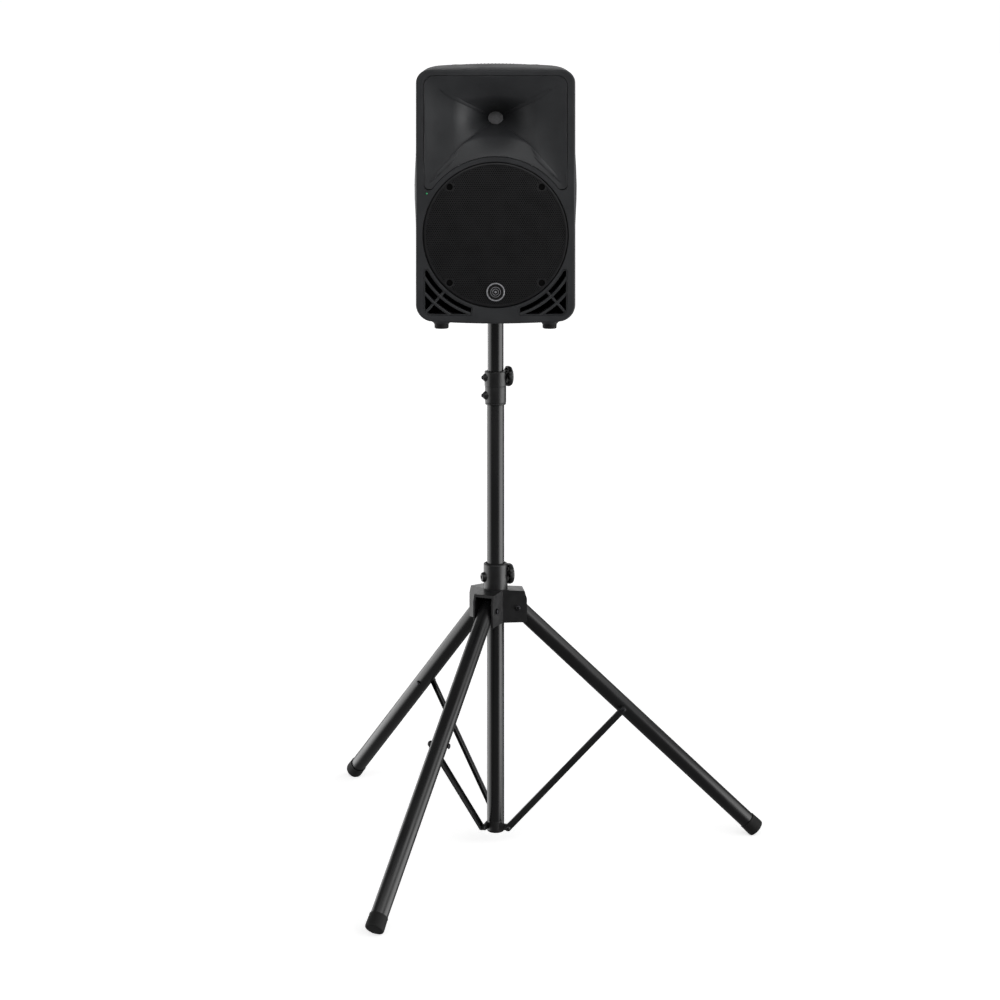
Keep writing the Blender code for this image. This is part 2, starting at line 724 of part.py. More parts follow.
def build_shell(cabinet):
    """Hollow rear body lofted through cross-sections, open at the front."""
    bm, last = loft(
        [[(x, y, z) for x, z in cabinet_outline(*sizes)] for y, *sizes in SHELL_SECTIONS]
    )
    bm.faces.new(last)
    # the sections wind so that the faces look inward; turn them outward
    bmesh.ops.reverse_faces(bm, faces=bm.faces)
    shell = add("rear_shell", mesh_from("rear_shell", bm), CABINET, **within(cabinet))
    wall = shell.modifiers.new("wall", "SOLIDIFY")
    wall.thickness = SHELL_WALL * MM
    wall.offset = -1.0
    wall.use_even_offset = True
    half_w = PANEL_HALF_W + PANEL_GAP
    here = within(cabinet)
    for opening in (
        block(
            "panel_opening",
            (-half_w, 130, PANEL_LOW - PANEL_GAP),
            (half_w, 175, PANEL_HIGH + PANEL_GAP),
            **here,
        ),
        block("handle_opening", (-100.5, -35.5, 1655), (100.5, 35.5, 1720), **here),
        rod("socket_opening", 26.4, 1120, 1165, segments=32, **here),
    ):
        cut(shell, opening)


def build_handle(cabinet):
    """Moulded carrying handle let into the top."""
    here = within(cabinet)
    handle = block("top_handle", (-100, -35, 1648), (100, 35, 1691.5), CABINET, **here)
    bevel(handle, 2.0, 2)
    cut(handle, block("handle_pocket", (-96.5, -31.5, 1651), (96.5, 31.5, 1720), **here))
    grip = block("handle_grip", (-98, -11, 1671), (98, 11, 1690.5), **here)
    bevel(grip, 7.0, 3)
    join(handle, grip)


# ---------------------------------------------------------------- horn
# share of the way from the mouth's outline to the throat, depth behind the mouth
FLARE_STEPS = (
    (0.0, 0.0), (0.03, 0.4), (0.22, 9.0), (0.45, 25.0), (0.68, 47.0), (0.86, 70.0),
    (1.0, HORN_DEPTH),
)


def flare_point(x, z, share):
    """Mouth point moved a share of the way to the throat, kept clear of the grille."""
    heading = math.atan2(z - THROAT_Z, x)
    throat_x = THROAT_R * math.cos(heading)
    throat_z = THROAT_Z + THROAT_R * math.sin(heading)
    across = x + (throat_x - x) * share
    height = z + (throat_z - z) * share
    reach = math.hypot(across, height - GRILLE_Z)
    clear = HORN_ARC + 5.0 * min(1.0, share * 12.0)
    if reach < clear:
        across = across * clear / reach
        height = GRILLE_Z + (height - GRILLE_Z) * clear / reach
    return across, height


def build_horn(cabinet):
    """Flare lofted from the panel's outline to the round throat."""
    bm, _ = loft(
        [
            [(*flare_point(x, z, share), HORN_FRONT - depth) for x, z in horn_outline(0.0)]
            for share, depth in FLARE_STEPS
        ]
    )
    mesh = mesh_from("horn_waveguide", bm)
    horn = add("horn_waveguide", mesh, CABINET, sharp=50, **within(cabinet, UPRIGHT))
    wall = horn.modifiers.new("wall", "SOLIDIFY")
    wall.thickness = 2.6 * MM
    wall.offset = -1.0
    wall.use_even_offset = False

    screen_r = THROAT_R - 0.6
    lathe(
        "throat_screen",
        [
            (0, THROAT_FRONT + 2.2), (13.0, THROAT_FRONT + 1.4),
            (screen_r, THROAT_FRONT + 0.4), (screen_r, THROAT_FRONT - 0.4),
            (0, THROAT_FRONT + 0.6),
        ],
        MESH,
        20,
        **within(cabinet, THROAT_AT),
    )
    face = THROAT_FRONT - 3.4
    lathe(
        "compression_driver",
        [
            (0, face), (30.0, face), (30.0, face - 6.0), (45.0, face - 7.0),
            (46.0, face - 9.0), (46.0, face - 33.0), (42.0, face - 37.0), (0, face - 39.0),
        ],
        DARK_STEEL,
        20,
        **within(cabinet, THROAT_AT),
    )


# ---------------------------------------------------------------- woofer
def build_grille(cabinet):
    """Domed round grille with four screws let into it."""
    grille = lathe(
        "woofer_grille",
        [
            (0, 158.6), (80, 158.1), (153.5, 156.0), (GRILLE_R, 154.2), (GRILLE_R, 151.0),
            (154.1, 151.0), (154.1, 153.6), (152.6, 154.6), (80, 156.7), (0, 157.2),
        ],
        GRILLE,
        48,
        **within(cabinet, WOOFER_AT),
    )
    screw_profile = [
        (0, 154.2), (3.4, 153.8), (4.4, 152.4), (6.6, 152.4),
        (7.2, 156.4), (8.0, 156.4), (8.0, 150.3), (0, 150.3),
    ]
    for number, (x, z) in enumerate(SCREWS, 1):
        spot = within(cabinet, WOOFER_AT @ place(x, z))
        cut(grille, rod("screw_opening_%d" % number, 8.5, 140, 170, segments=12, **spot))
        lathe("grille_screw_%d" % number, screw_profile, DARK_STEEL, 12, **spot)


def build_woofer(cabinet):
    woofer_at = within(cabinet, WOOFER_AT)
    lathe(
        "woofer_basket",
        [
            (130.5, 149.7), (130.5, 146.4), (119.0, 146.4), (112.0, 132.0),
            (72.0, 68.0), (70.0, 62.0), (44.0, 62.0), (44.0, 65.0),
            (66.0, 67.5), (107.5, 134.0), (111.5, 149.7),
        ],
        DARK_STEEL,
        20,
        ring=True,
        **woofer_at,
    )
    lathe(
        "woofer_magnet",
        [(73.0, 61.6), (75.0, 59.0), (75.0, 28.0), (73.0, 25.0), (27.5, 25.0), (27.5, 61.6)],
        DARK_STEEL,
        24,
        ring=True,
        **woofer_at,
    )
    lathe(
        "woofer_surround",
        [
            (97.6, 150.2), (105.0, 153.4), (112.5, 151.3), (119.0, 151.3),
            (119.0, 150.0), (112.0, 150.0), (105.0, 152.0), (98.2, 149.0),
        ],
        RUBBER,
        20,
        ring=True,
        **woofer_at,
    )
    travel = empty("cone_travel", place(0, -CONE_FORWARD, GRILLE_Z) @ UPRIGHT)
    lathe(
        "woofer_cone",
        [
            (0, 15.0), (14.0, 13.6), (26.0, 9.0), (31.0, 4.0), (34.0, 4.0), (95.0, 28.4),
            (96.0, 26.6), (34.0, 0.0), (26.0, -4.0), (26.0, -72.0), (0, -72.0),
        ],
        PAPER,
        20,
        parent=travel,
    )


# ---------------------------------------------------------------- front details
def build_badge(cabinet):
    lathe(
        "badge",
        [
            (0, 160.0), (15.4, 160.0), (16.2, 161.2), (18.8, 161.2),
            (BADGE_R, 160.4), (BADGE_R, 158.9), (0, 158.9),
        ],
        BRIGHT,
        20,
        **within(cabinet, UPRIGHT @ place(0, BADGE_Z)),
    )


def build_led(cabinet):
    lathe(
        "front_led",
        [(0, 158.9), (1.4, 158.5), (2.0, 157.6), (2.0, 146.0), (0, 146.0)],
        GREEN,
        12,
        **within(cabinet, UPRIGHT @ place(LED_X, LED_Z)),
    )


def build_port(cabinet, word, side):
    """Corner duct; its airway is cut around two curved louvres and a rib."""
    facing = within(cabinet, UPRIGHT)
    duct = plate("port_duct_" + word, [port_outline(side, 0.2)], 98.0, 156.4, CABINET, **facing)
    airway = plate("airway_" + word, [port_outline(side, 3.0)], 90.0, 170.0, **facing)
    for number, radius in enumerate(LOUVRES, 1):
        bar = arc(0, GRILLE_Z, radius - LOUVRE_T / 2, 185, 285, 12)
        bar += arc(0, GRILLE_Z, radius + LOUVRE_T / 2, 285, 185, 12)
        # the arcs lie on the left and are mirrored for the right port
        bar = [(-side * x, z) for x, z in bar]
        cut(airway, plate("louvre_%s_%d" % (word, number), [bar], *PORT_BARS, **facing))
    along_x, along_z = side * math.cos(RIB_ANGLE), -math.sin(RIB_ANGLE)
    # corners given as distance from the grille's centre and offset across the rib
    rib = [
        (along_x * reach - along_z * offset, GRILLE_Z + along_z * reach + along_x * offset)
        for reach, offset in (
            (150, RIB_HALF_T), (240, RIB_HALF_T), (240, -RIB_HALF_T), (150, -RIB_HALF_T),
        )
    ]
    cut(airway, plate("rib_" + word, [rib], *PORT_BARS, **facing))
    cut(duct, airway)


# ---------------------------------------------------------------- underside
def build_cabinet_feet(cabinet):
    for end, (out, y, top) in CABINET_FEET.items():
        profile = [
            (0, top), (21.5, top), (20.5, top - 2.0), (16.6, FOOT_PAD_Z + 11.0),
            (15.6, FOOT_PAD_Z + 10.5), (15.2, FOOT_PAD_Z + 1.2),
            (14.2, FOOT_PAD_Z), (0, FOOT_PAD_Z),
        ]
        for word, side in SIDES.items():
            name = "cabinet_foot_%s_%s" % (end, word)
            lathe(name, profile, RUBBER, 16, **within(cabinet, place(side * out, y)))


def build_pole_socket(cabinet):
    lathe(
        "pole_socket",
        [
            (0, 1232.0), (22.0, 1232.0), (24.0, 1230.0), (24.0, 1150.0), (34.0, 1149.0),
            (34.0, 1144.6), (26.0, 1144.6), (26.0, 1137.4), (25.0, 1136.4),
            (19.0, 1136.4), (17.9, 1138.0), (17.9, 1222.6), (0, 1224.6),
        ],
        CAST,
        24,
        **within(cabinet),
    )


# ================================================================ amplifier at the back
def build_amp_panel(cabinet):
    """Recessed panel with cooling fins and openings for the controls."""
    middle, half_h = (PANEL_LOW + PANEL_HIGH) / 2, (PANEL_HIGH - PANEL_LOW) / 2
    loops = [window(0.0, middle, PANEL_HALF_W, half_h), circle(*LEVEL_AT, 4.4)]
    loops += [circle(x, z, 12.6) for x, z in SOCKETS.values()]
    loops += [window(x, z, 5.0, 5.0) for x, z in BUTTONS.values()]
    loops.append(window(INLET_X, INLET_Z, 14.2, 10.4))
    loops.append(window(SWITCH_X, SWITCH_Z, 8.0, 12.0))
    panel = plate(
        "amp_panel", loops, -BACK, -PANEL_FRONT, COATED, **within(cabinet, UPRIGHT)
    )
    recess = block(
        "panel_recess",
        (-PANEL_HALF_W + PANEL_RIM, 149.6, PANEL_LOW + PANEL_RIM),
        (PANEL_HALF_W - PANEL_RIM, 170.0, PANEL_HIGH - PANEL_RIM),
        **within(cabinet),
    )
    cut(panel, recess)
    for number in range(FIN_COUNT):
        x = FIN_PITCH * (number - (FIN_COUNT - 1) / 2)
        fin = block(
            "fin_%d" % number,
            (x - FIN_HALF_T, 149.0, 1402.0),
            (x + FIN_HALF_T, 157.4, 1544.0),
            **within(cabinet),
        )
        join(panel, fin)


def build_level_knob():
    x, z = LEVEL_AT
    axis = empty("level_axis", place(x, CONTROL_Y, z) @ BACKWARD)
    knob = lathe(
        "level_knob",
        [
            (0, 9.0), (8.4, 9.0), (9.6, 7.8), (11.0, 1.6),
            (11.0, 0.6), (4.0, 0.6), (4.0, -9.0), (0, -9.0),
        ],
        CAST,
        24,
        parent=axis,
    )
    cut(knob, block("pointer_slot", (-0.9, -9.2, 7.8), (0.9, -3.0, 12.0), parent=axis))


def build_button(word, x, z):
    axis = empty(word + "_axis", place(x, CONTROL_Y, z) @ BACKWARD)
    button = block(word + "_button", (-4.5, -4.5, -12.0), (4.5, 4.5, 3.6), CAST, parent=axis)
    bevel(button, 0.8, 2)


def build_signal_socket(cabinet, word, x, z):
    lathe(
        word + "_socket",
        [
            (0, 136.0), (9.6, 136.0), (9.6, 153.0), (15.0, 153.0), (15.6, 152.4),
            (15.6, 150.0), (12.0, 150.0), (12.0, 130.0), (0, 130.0),
        ],
        DARK_STEEL,
        18,
        **within(cabinet, place(x, 0, z) @ BACKWARD),
    )


def build_inlet(cabinet):
    """Mains inlet: a hollow block with three blades."""

    def inlet_block(name, half_w, half_h, front, back, mat=None, x=0.0, z=0.0):
        """Box about a point offset by x, z from the inlet's centre."""
        x, z = INLET_X + x, INLET_Z + z
        low = (x - half_w, front, z - half_h)
        high = (x + half_w, back, z + half_h)
        return block(name, low, high, mat, **within(cabinet))

    inlet = inlet_block("power_inlet", 13.8, 10.0, 128.0, 153.0, CAST)
    bevel(inlet, 1.0, 1)
    cut(inlet, inlet_block("inlet_recess", 11.6, 7.8, 134.0, 170.0))
    for number, (x, z) in enumerate(((-6.8, -1.6), (0.0, 2.0), (6.8, -1.6))):
        join(inlet, inlet_block("blade_%d" % number, 1.0, 2.0, 133.0, 149.0, x=x, z=z))


def build_switch():
    """Rocker with a hollowed face, tipped to one side."""
    axis = empty(
        "switch_axis", place(SWITCH_X, 147.0, SWITCH_Z) @ turn(math.radians(-8.0), "X")
    )
    # (distance downward, distance backward)
    outline = [
        (-9.8, -6.0), (9.8, -6.0), (10.2, 4.8), (6.0, 4.0),
        (0.0, 3.4), (-6.0, 4.0), (-10.2, 4.8),
    ]
    switch = plate("power_switch", [outline], -6.4, 6.4, CAST, RIGHTWARD, axis)
    bevel(switch, 0.6, 1)


# x, z, half width, half height, reach forward of the board
COMPONENTS = (
    (-30, 1470, 18, 30, 22), (28, 1480, 14, 14, 16), (20, 1420, 20, 12, 10),
    (-34, 1380, 12, 12, 20),
)


def build_board(cabinet):
    front = 118.0
    board = block(
        "amp_board", (-68, front, 1222), (68, front + 1.8, 1540), BOARD, **within(cabinet)
    )
    for number, (x, z, half_w, half_h, reach) in enumerate(COMPONENTS):
        component = block(
            "component_%d" % number,
            (x - half_w, front - reach, z - half_h),
            (x + half_w, front + 0.6, z + half_h),
            **within(cabinet),
        )
        join(board, component)


def build_transformer(cabinet):
    lathe(
        "mains_transformer",
        [
            (34.0, 1184.0), (38.0, 1180.0), (38.0, 1156.0), (34.0, 1152.0),
            (14.0, 1152.0), (11.0, 1155.0), (11.0, 1181.0), (14.0, 1184.0),
        ],
        COPPER,
        18,
        ring=True,
        **within(cabinet, place(0, 78)),
    )


# ================================================================ assembly
def build_stand():
    build_column()
    build_bottom_bracket()
    build_collar()
    clamp_knob("upper_knob", UPPER_KNOB_Z, tip=17.95, rim=25.2)
    build_hub()
    clamp_knob("hub_knob", HUB_KNOB_Z, tip=19.25, rim=27.4)
    for leg, spin in LEG_SPINS.items():
        build_leg(leg, spin)
    build_pole()


def build_loudspeaker():
    cabinet = empty("loudspeaker", place(z=CAB_LOW))
    for build in (
        build_baffle, build_shell, build_handle, build_horn, build_grille, build_woofer,
        build_badge, build_led, build_cabinet_feet, build_pole_socket,
        build_amp_panel, build_inlet, build_board, build_transformer,
    ):
        build(cabinet)
    for word, side in SIDES.items():
        build_port(cabinet, word, side)
    build_level_knob()
    for word, (x, z) in BUTTONS.items():
        build_button(word, x, z)
    for word, (x, z) in SOCKETS.items():
        build_signal_socket(cabinet, word, x, z)
    build_switch()


build_stand()
build_loudspeaker()
bpy.context.view_layer.update()
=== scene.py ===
"""Looks of the PA loudspeaker on its tripod stand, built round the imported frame."""

import json
import math

import bmesh
import bpy
from mathutils import Matrix, Vector

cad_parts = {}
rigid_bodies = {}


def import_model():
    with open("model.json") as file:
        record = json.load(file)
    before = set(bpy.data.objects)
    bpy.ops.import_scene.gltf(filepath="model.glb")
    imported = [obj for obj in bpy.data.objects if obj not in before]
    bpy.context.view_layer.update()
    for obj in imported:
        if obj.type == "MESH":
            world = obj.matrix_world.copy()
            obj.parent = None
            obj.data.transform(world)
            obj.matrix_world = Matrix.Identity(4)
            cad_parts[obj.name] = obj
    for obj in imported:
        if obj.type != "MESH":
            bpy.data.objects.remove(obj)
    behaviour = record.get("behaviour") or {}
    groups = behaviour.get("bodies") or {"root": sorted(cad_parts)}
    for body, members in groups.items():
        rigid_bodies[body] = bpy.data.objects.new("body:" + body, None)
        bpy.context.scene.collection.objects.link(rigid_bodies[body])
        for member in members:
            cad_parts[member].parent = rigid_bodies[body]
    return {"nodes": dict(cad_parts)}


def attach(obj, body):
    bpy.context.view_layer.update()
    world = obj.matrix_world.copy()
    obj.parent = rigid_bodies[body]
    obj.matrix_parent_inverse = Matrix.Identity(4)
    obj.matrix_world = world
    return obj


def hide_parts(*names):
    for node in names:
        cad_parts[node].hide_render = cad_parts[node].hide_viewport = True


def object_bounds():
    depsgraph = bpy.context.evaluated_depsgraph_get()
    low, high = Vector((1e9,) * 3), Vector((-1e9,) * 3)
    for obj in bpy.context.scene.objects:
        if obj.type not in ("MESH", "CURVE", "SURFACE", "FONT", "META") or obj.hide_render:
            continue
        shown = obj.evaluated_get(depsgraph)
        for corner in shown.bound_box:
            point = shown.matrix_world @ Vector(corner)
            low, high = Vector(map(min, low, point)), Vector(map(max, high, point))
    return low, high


for old in list(bpy.data.objects):
    bpy.data.objects.remove(old, do_unlink=True)

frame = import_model()
cad_low, cad_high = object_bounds()
nodes = frame["nodes"]

MM = 0.001
LEGS = {"right": 5.74, "front": -114.26, "rear": 125.74}
TILT_FRONT = Matrix.Rotation(math.pi / 2, 4, "X")        # (across, height, forward)
KNOB_TURN = math.radians(18.0)
LEG_TILT = math.radians(46.5)
LEG_LENGTH = 742.0
GROUND = cad_low.z * 1000.0
PIVOT_R = 46.0
PIVOT_Z = GROUND - 2.5 + 19.8 * math.sin(LEG_TILT) + LEG_LENGTH * math.cos(LEG_TILT)
BRACE_AT, BRACE_DROP = 328.0, 6.0
PIN_R, PIN_Z = 25.0, 13.0
PIN_OUT = PIVOT_R + BRACE_AT * math.sin(LEG_TILT) - BRACE_DROP * math.cos(LEG_TILT)
PIN_UP = PIVOT_Z - BRACE_AT * math.cos(LEG_TILT) - BRACE_DROP * math.sin(LEG_TILT)
BRACE_TILT = math.atan2(PIN_OUT - PIN_R, PIN_UP - PIN_Z)
BRACE_LENGTH = math.hypot(PIN_OUT - PIN_R, PIN_UP - PIN_Z)
GRILLE_Z = 1325.6


def place(x=0.0, y=0.0, z=0.0):
    return Matrix.Translation((x * MM, y * MM, z * MM))


def turn(angle, axis):
    return Matrix.Rotation(angle, 4, axis)


# ------------------------------------------------------------------ materials
def lin(hexa):
    out = []
    for i in (0, 2, 4):
        c = int(hexa[i : i + 2], 16) / 255
        out.append(c / 12.92 if c <= 0.04045 else ((c + 0.055) / 1.055) ** 2.4)
    return (*out, 1.0)


def surface(
    name,
    dark,
    light,
    rough,
    metallic=0.0,
    grain=2200.0,
    bump=0.00006,
    mottle=35.0,
    wear=0.25,
    wear_colour=(0.16, 0.16, 0.165, 1.0),
    edge=0.0007,
    specular=0.5,
    streak=None,
    rough_spread=0.06,
    coat=0.0,
):
    """Procedural finish: mottled colour, uneven roughness, fine grain and rubbed edges."""
    mat = bpy.data.materials.new(name)
    mat.use_nodes = True
    nt = mat.node_tree
    nt.nodes.clear()
    new, link = nt.nodes.new, nt.links.new
    out = new("ShaderNodeOutputMaterial")
    bsdf = new("ShaderNodeBsdfPrincipled")
    link(bsdf.outputs[0], out.inputs[0])
    bsdf.inputs["Metallic"].default_value = metallic
    bsdf.inputs["Specular IOR Level"].default_value = specular
    bsdf.inputs["Coat Weight"].default_value = coat
    coords = new("ShaderNodeTexCoord")
    where = coords.outputs["Object"]
    if streak is not None:
        stretch = new("ShaderNodeMapping")
        stretch.inputs["Scale"].default_value = streak
        link(where, stretch.inputs["Vector"])
        patch_at = stretch.outputs[0]
    else:
        patch_at = where
    patch = new("ShaderNodeTexNoise")
    patch.inputs["Scale"].default_value = mottle
    patch.inputs["Detail"].default_value = 3.0
    link(patch_at, patch.inputs["Vector"])
    fine = new("ShaderNodeTexNoise")
    fine.inputs["Scale"].default_value = grain
    fine.inputs["Detail"].default_value = 1.0
    link(where, fine.inputs["Vector"])
    ramp = new("ShaderNodeValToRGB")
    ramp.color_ramp.elements[0].position = 0.3
    ramp.color_ramp.elements[0].color = dark
    ramp.color_ramp.elements[1].position = 0.72
    ramp.color_ramp.elements[1].color = light
    link(patch.outputs["Fac"], ramp.inputs["Fac"])
    # rubbed edges: where the rounded normal leaves the flat one
    base = ramp.outputs["Color"]
    if wear > 0:
        round_edge = new("ShaderNodeBevel")
        round_edge.samples = 3
        round_edge.inputs["Radius"].default_value = edge
        geo = new("ShaderNodeNewGeometry")
        dot = new("ShaderNodeVectorMath")
        dot.operation = "DOT_PRODUCT"
        link(round_edge.outputs[0], dot.inputs[0])
        link(geo.outputs["Normal"], dot.inputs[1])
        edge_ramp = new("ShaderNodeMapRange")
        edge_ramp.inputs["From Min"].default_value = 0.985
        edge_ramp.inputs["From Max"].default_value = 0.86
        edge_ramp.inputs["To Min"].default_value = 0.0
        edge_ramp.inputs["To Max"].default_value = wear
        link(dot.outputs["Value"], edge_ramp.inputs["Value"])
        broken = new("ShaderNodeMath")
        broken.operation = "MULTIPLY"
        link(edge_ramp.outputs[0], broken.inputs[0])
        link(patch.outputs["Fac"], broken.inputs[1])
        blend = new("ShaderNodeMix")
        blend.data_type = "RGBA"
        link(broken.outputs[0], blend.inputs["Factor"])
        link(base, blend.inputs["A"])
        blend.inputs["B"].default_value = wear_colour
        base = blend.outputs["Result"]
    link(base, bsdf.inputs["Base Color"])
    rough_range = new("ShaderNodeMapRange")
    rough_range.inputs["From Min"].default_value = 0.3
    rough_range.inputs["From Max"].default_value = 0.7
    rough_range.inputs["To Min"].default_value = rough - rough_spread
    rough_range.inputs["To Max"].default_value = rough + rough_spread
    link(patch.outputs["Fac"], rough_range.inputs["Value"])
    link(rough_range.outputs[0], bsdf.inputs["Roughness"])
    pit = new("ShaderNodeBump")
    pit.inputs["Strength"].default_value = 0.6
    pit.inputs["Distance"].default_value = bump
    link(fine.outputs["Fac"], pit.inputs["Height"])
    link(pit.outputs[0], bsdf.inputs["Normal"])
    return mat


M = {
    "coated_tube": surface(
        "powder_coated_tube", lin("0d0d0e"), lin("111112"), 0.25, grain=2600, bump=0.00005,
        mottle=16, wear=0.35, streak=(1, 1, 0.25), specular=0.62, edge=0.0006,
    ),
    "moulded_nylon": surface(
        "glass_filled_nylon", lin("121213"), lin("181819"), 0.36, grain=1500, bump=0.00010,
        mottle=60, wear=0.25, specular=0.6, edge=0.0009,
    ),
    "rubber": surface(
        "black_rubber", lin("151515"), lin("1c1c1c"), 0.72, grain=900, bump=0.00012,
        mottle=45, wear=0.5, wear_colour=(0.05, 0.05, 0.05, 1), specular=0.3, edge=0.0008,
    ),
    "dark_steel": surface(
        "black_oxide_steel", lin("2a2a2c"), lin("3a3a3d"), 0.36, metallic=0.85, grain=1800,
        bump=0.00004, mottle=110, wear=0.8, wear_colour=(0.35, 0.35, 0.36, 1), edge=0.0005,
    ),
    "cabinet": surface(
        "textured_polypropylene", lin("2e2f31"), lin("353638"), 0.50, grain=950, bump=0.00022,
        mottle=22, wear=0.30, wear_colour=(0.09, 0.09, 0.095, 1), specular=0.42, edge=0.0012,
        rough_spread=0.05,
    ),
    "cabinet_smooth": surface(
        "satin_polypropylene", lin("2e2f31"), lin("353638"), 0.46, grain=1700, bump=0.00009,
        mottle=18, wear=0.2, wear_colour=(0.08, 0.08, 0.085, 1), specular=0.45, edge=0.0010,
        rough_spread=0.04,
    ),
    "grille_steel": surface(
        "perforated_steel", lin("101012"), lin("151517"), 0.5, grain=2400, bump=0.00004,
        mottle=30, wear=0.0, specular=0.45,
    ),
    "bright_trim": surface(
        "brushed_bright_trim", lin("8e8e92"), lin("b2b2b6"), 0.30, metallic=0.25, grain=1500,
        bump=0.00003, mottle=260, wear=0.3, wear_colour=(0.85, 0.85, 0.87, 1), edge=0.0003,
    ),
    "badge_field": surface(
        "badge_enamel", lin("0a0a0a"), lin("111112"), 0.3, grain=2200, bump=0.00002,
        mottle=180, wear=0.0, specular=0.5,
    ),
    "green_lens": surface(
        "green_lens", lin("2f9a5c"), lin("55c888"), 0.22, grain=900, bump=0.00002,
        mottle=400, wear=0.0, specular=0.7,
    ),
    "cone_paper": surface(
        "pulp_cone", lin("141414"), lin("1d1c1b"), 0.85, grain=700, bump=0.00018,
        mottle=90, wear=0.0, specular=0.25,
    ),
    "foam": surface(
        "acoustic_cloth", lin("070707"), lin("0d0d0d"), 0.95, grain=600, bump=0.0002,
        mottle=120, wear=0.0, specular=0.1,
    ),
    # painted shade: near-black colour for the sheet that stands in for the dark depth inside the ports
    "shade_paint": surface(
        "port_painted_shade", lin("050505"), lin("090909"), 0.9, grain=700, bump=0.0001,
        mottle=60, wear=0.0, specular=0.1,
    ),
    "coated_panel": surface(
        "painted_aluminium", lin("17181a"), lin("1d1e20"), 0.4, metallic=0.0, grain=1300,
        bump=0.00007, mottle=26, wear=0.6, wear_colour=(0.3, 0.3, 0.31, 1), specular=0.55, edge=0.0006,
    ),
    "throat_mesh": surface(
        "throat_mesh", lin("9c9c9e"), lin("b0b0b2"), 0.55, metallic=0.0, grain=2000,
        bump=0.0001, mottle=200, wear=0.0, specular=0.4,
    ),
    "circuit_board": surface(
        "solder_mask", lin("0f4a26"), lin("176034"), 0.42, grain=700, bump=0.00006, mottle=140,
        wear=0.3, wear_colour=(0.4, 0.33, 0.12, 1), specular=0.5, edge=0.0004,
    ),
    "copper_winding": surface(
        "varnished_winding", lin("6b3114"), lin("97501f"), 0.38, metallic=0.7, grain=1100,
        bump=0.0003, mottle=120, wear=0.2, specular=0.5, streak=(1, 1, 9),
    ),
    "zinc": surface(
        "zinc_plated_steel", lin("8c8c8f"), lin("aeaeb2"), 0.34, metallic=0.95, grain=1600,
        bump=0.00004, mottle=150, wear=0.3, wear_colour=(0.8, 0.8, 0.8, 1), edge=0.0004,
    ),
    "print": surface(
        "printed_ink", lin("b4b4b4"), lin("cccccc"), 0.5, grain=1200, bump=0.00002,
        mottle=300, wear=0.0, specular=0.3,
    ),
    "gold": surface(
        "contact_plating", lin("a08038"), lin("c8a550"), 0.3, metallic=1.0, grain=1200,
        bump=0.00002, mottle=240, wear=0.0,
    ),
}


# ------------------------------------------------------------------ mesh helpers
def raw(name, mesh, matrix=None):
    ob = bpy.data.objects.new(name, mesh)
    bpy.context.scene.collection.objects.link(ob)
    ob.matrix_world = matrix if matrix is not None else Matrix.Identity(4)
    return ob


def from_bm(name, bm, matrix=None):
    bmesh.ops.recalc_face_normals(bm, faces=bm.faces)
    mesh = bpy.data.meshes.new(name)
    bm.to_mesh(mesh)
    bm.free()
    return raw(name, mesh, matrix)


def soften(points, radius, steps=3, closed=False):
    """Rounds the corners of a polyline of (a, b) points; radius is one number or one for each point."""
    out = []
    count = len(points)
    for i, p in enumerate(points):
        r = radius[i] if isinstance(radius, (list, tuple)) else radius
        if r <= 0 or (not closed and i in (0, count - 1)):
            out.append(p)
            continue
        a, c = Vector(points[i - 1]), Vector(points[(i + 1) % count])
        b = Vector(p)
        da, dc = (a - b), (c - b)
        if da.length < 1e-6 or dc.length < 1e-6:
            out.append(p)
            continue
        cut = min(r, da.length * 0.45, dc.length * 0.45)
        s, e = b + da.normalized() * cut, b + dc.normalized() * cut
        for k in range(steps + 1):
            t = k / steps
            q = s * (1 - t) ** 2 + b * 2 * t * (1 - t) + e * t * t
            out.append((q.x, q.y))
    return out


def turned(name, profile, segments=96, ring=False, matrix=None, shape=None):
    """Closed turned solid from (radius, height) points; shape(radius, height, angle) may move a point."""
    bm = bmesh.new()
    rows = []
    for r, z in profile:
        if r < 1e-6:
            rows.append([bm.verts.new((0, 0, z * MM))])
            continue
        row = []
        for k in range(segments):
            a = 2 * math.pi * k / segments
            rr, zz = shape(r, z, a) if shape else (r, z)
            row.append(bm.verts.new((rr * math.cos(a) * MM, rr * math.sin(a) * MM, zz * MM)))
        rows.append(row)
    pairs = list(zip(rows, rows[1:]))
    if ring:
        pairs.append((rows[-1], rows[0]))
    for a, b in pairs:
        for k in range(segments):
            j = (k + 1) % segments
            if len(a) == 1 and len(b) == 1:
                break
            if len(a) == 1:
                bm.faces.new((a[0], b[k], b[j]))
            elif len(b) == 1:
                bm.faces.new((a[k], b[0], a[j]))
            else:
                bm.faces.new((a[k], b[k], b[j], a[j]))
    if not ring:
        for row in (rows[0], rows[-1]):
            if len(row) > 1:
                bm.faces.new(row)
    return from_bm(name, bm, matrix)


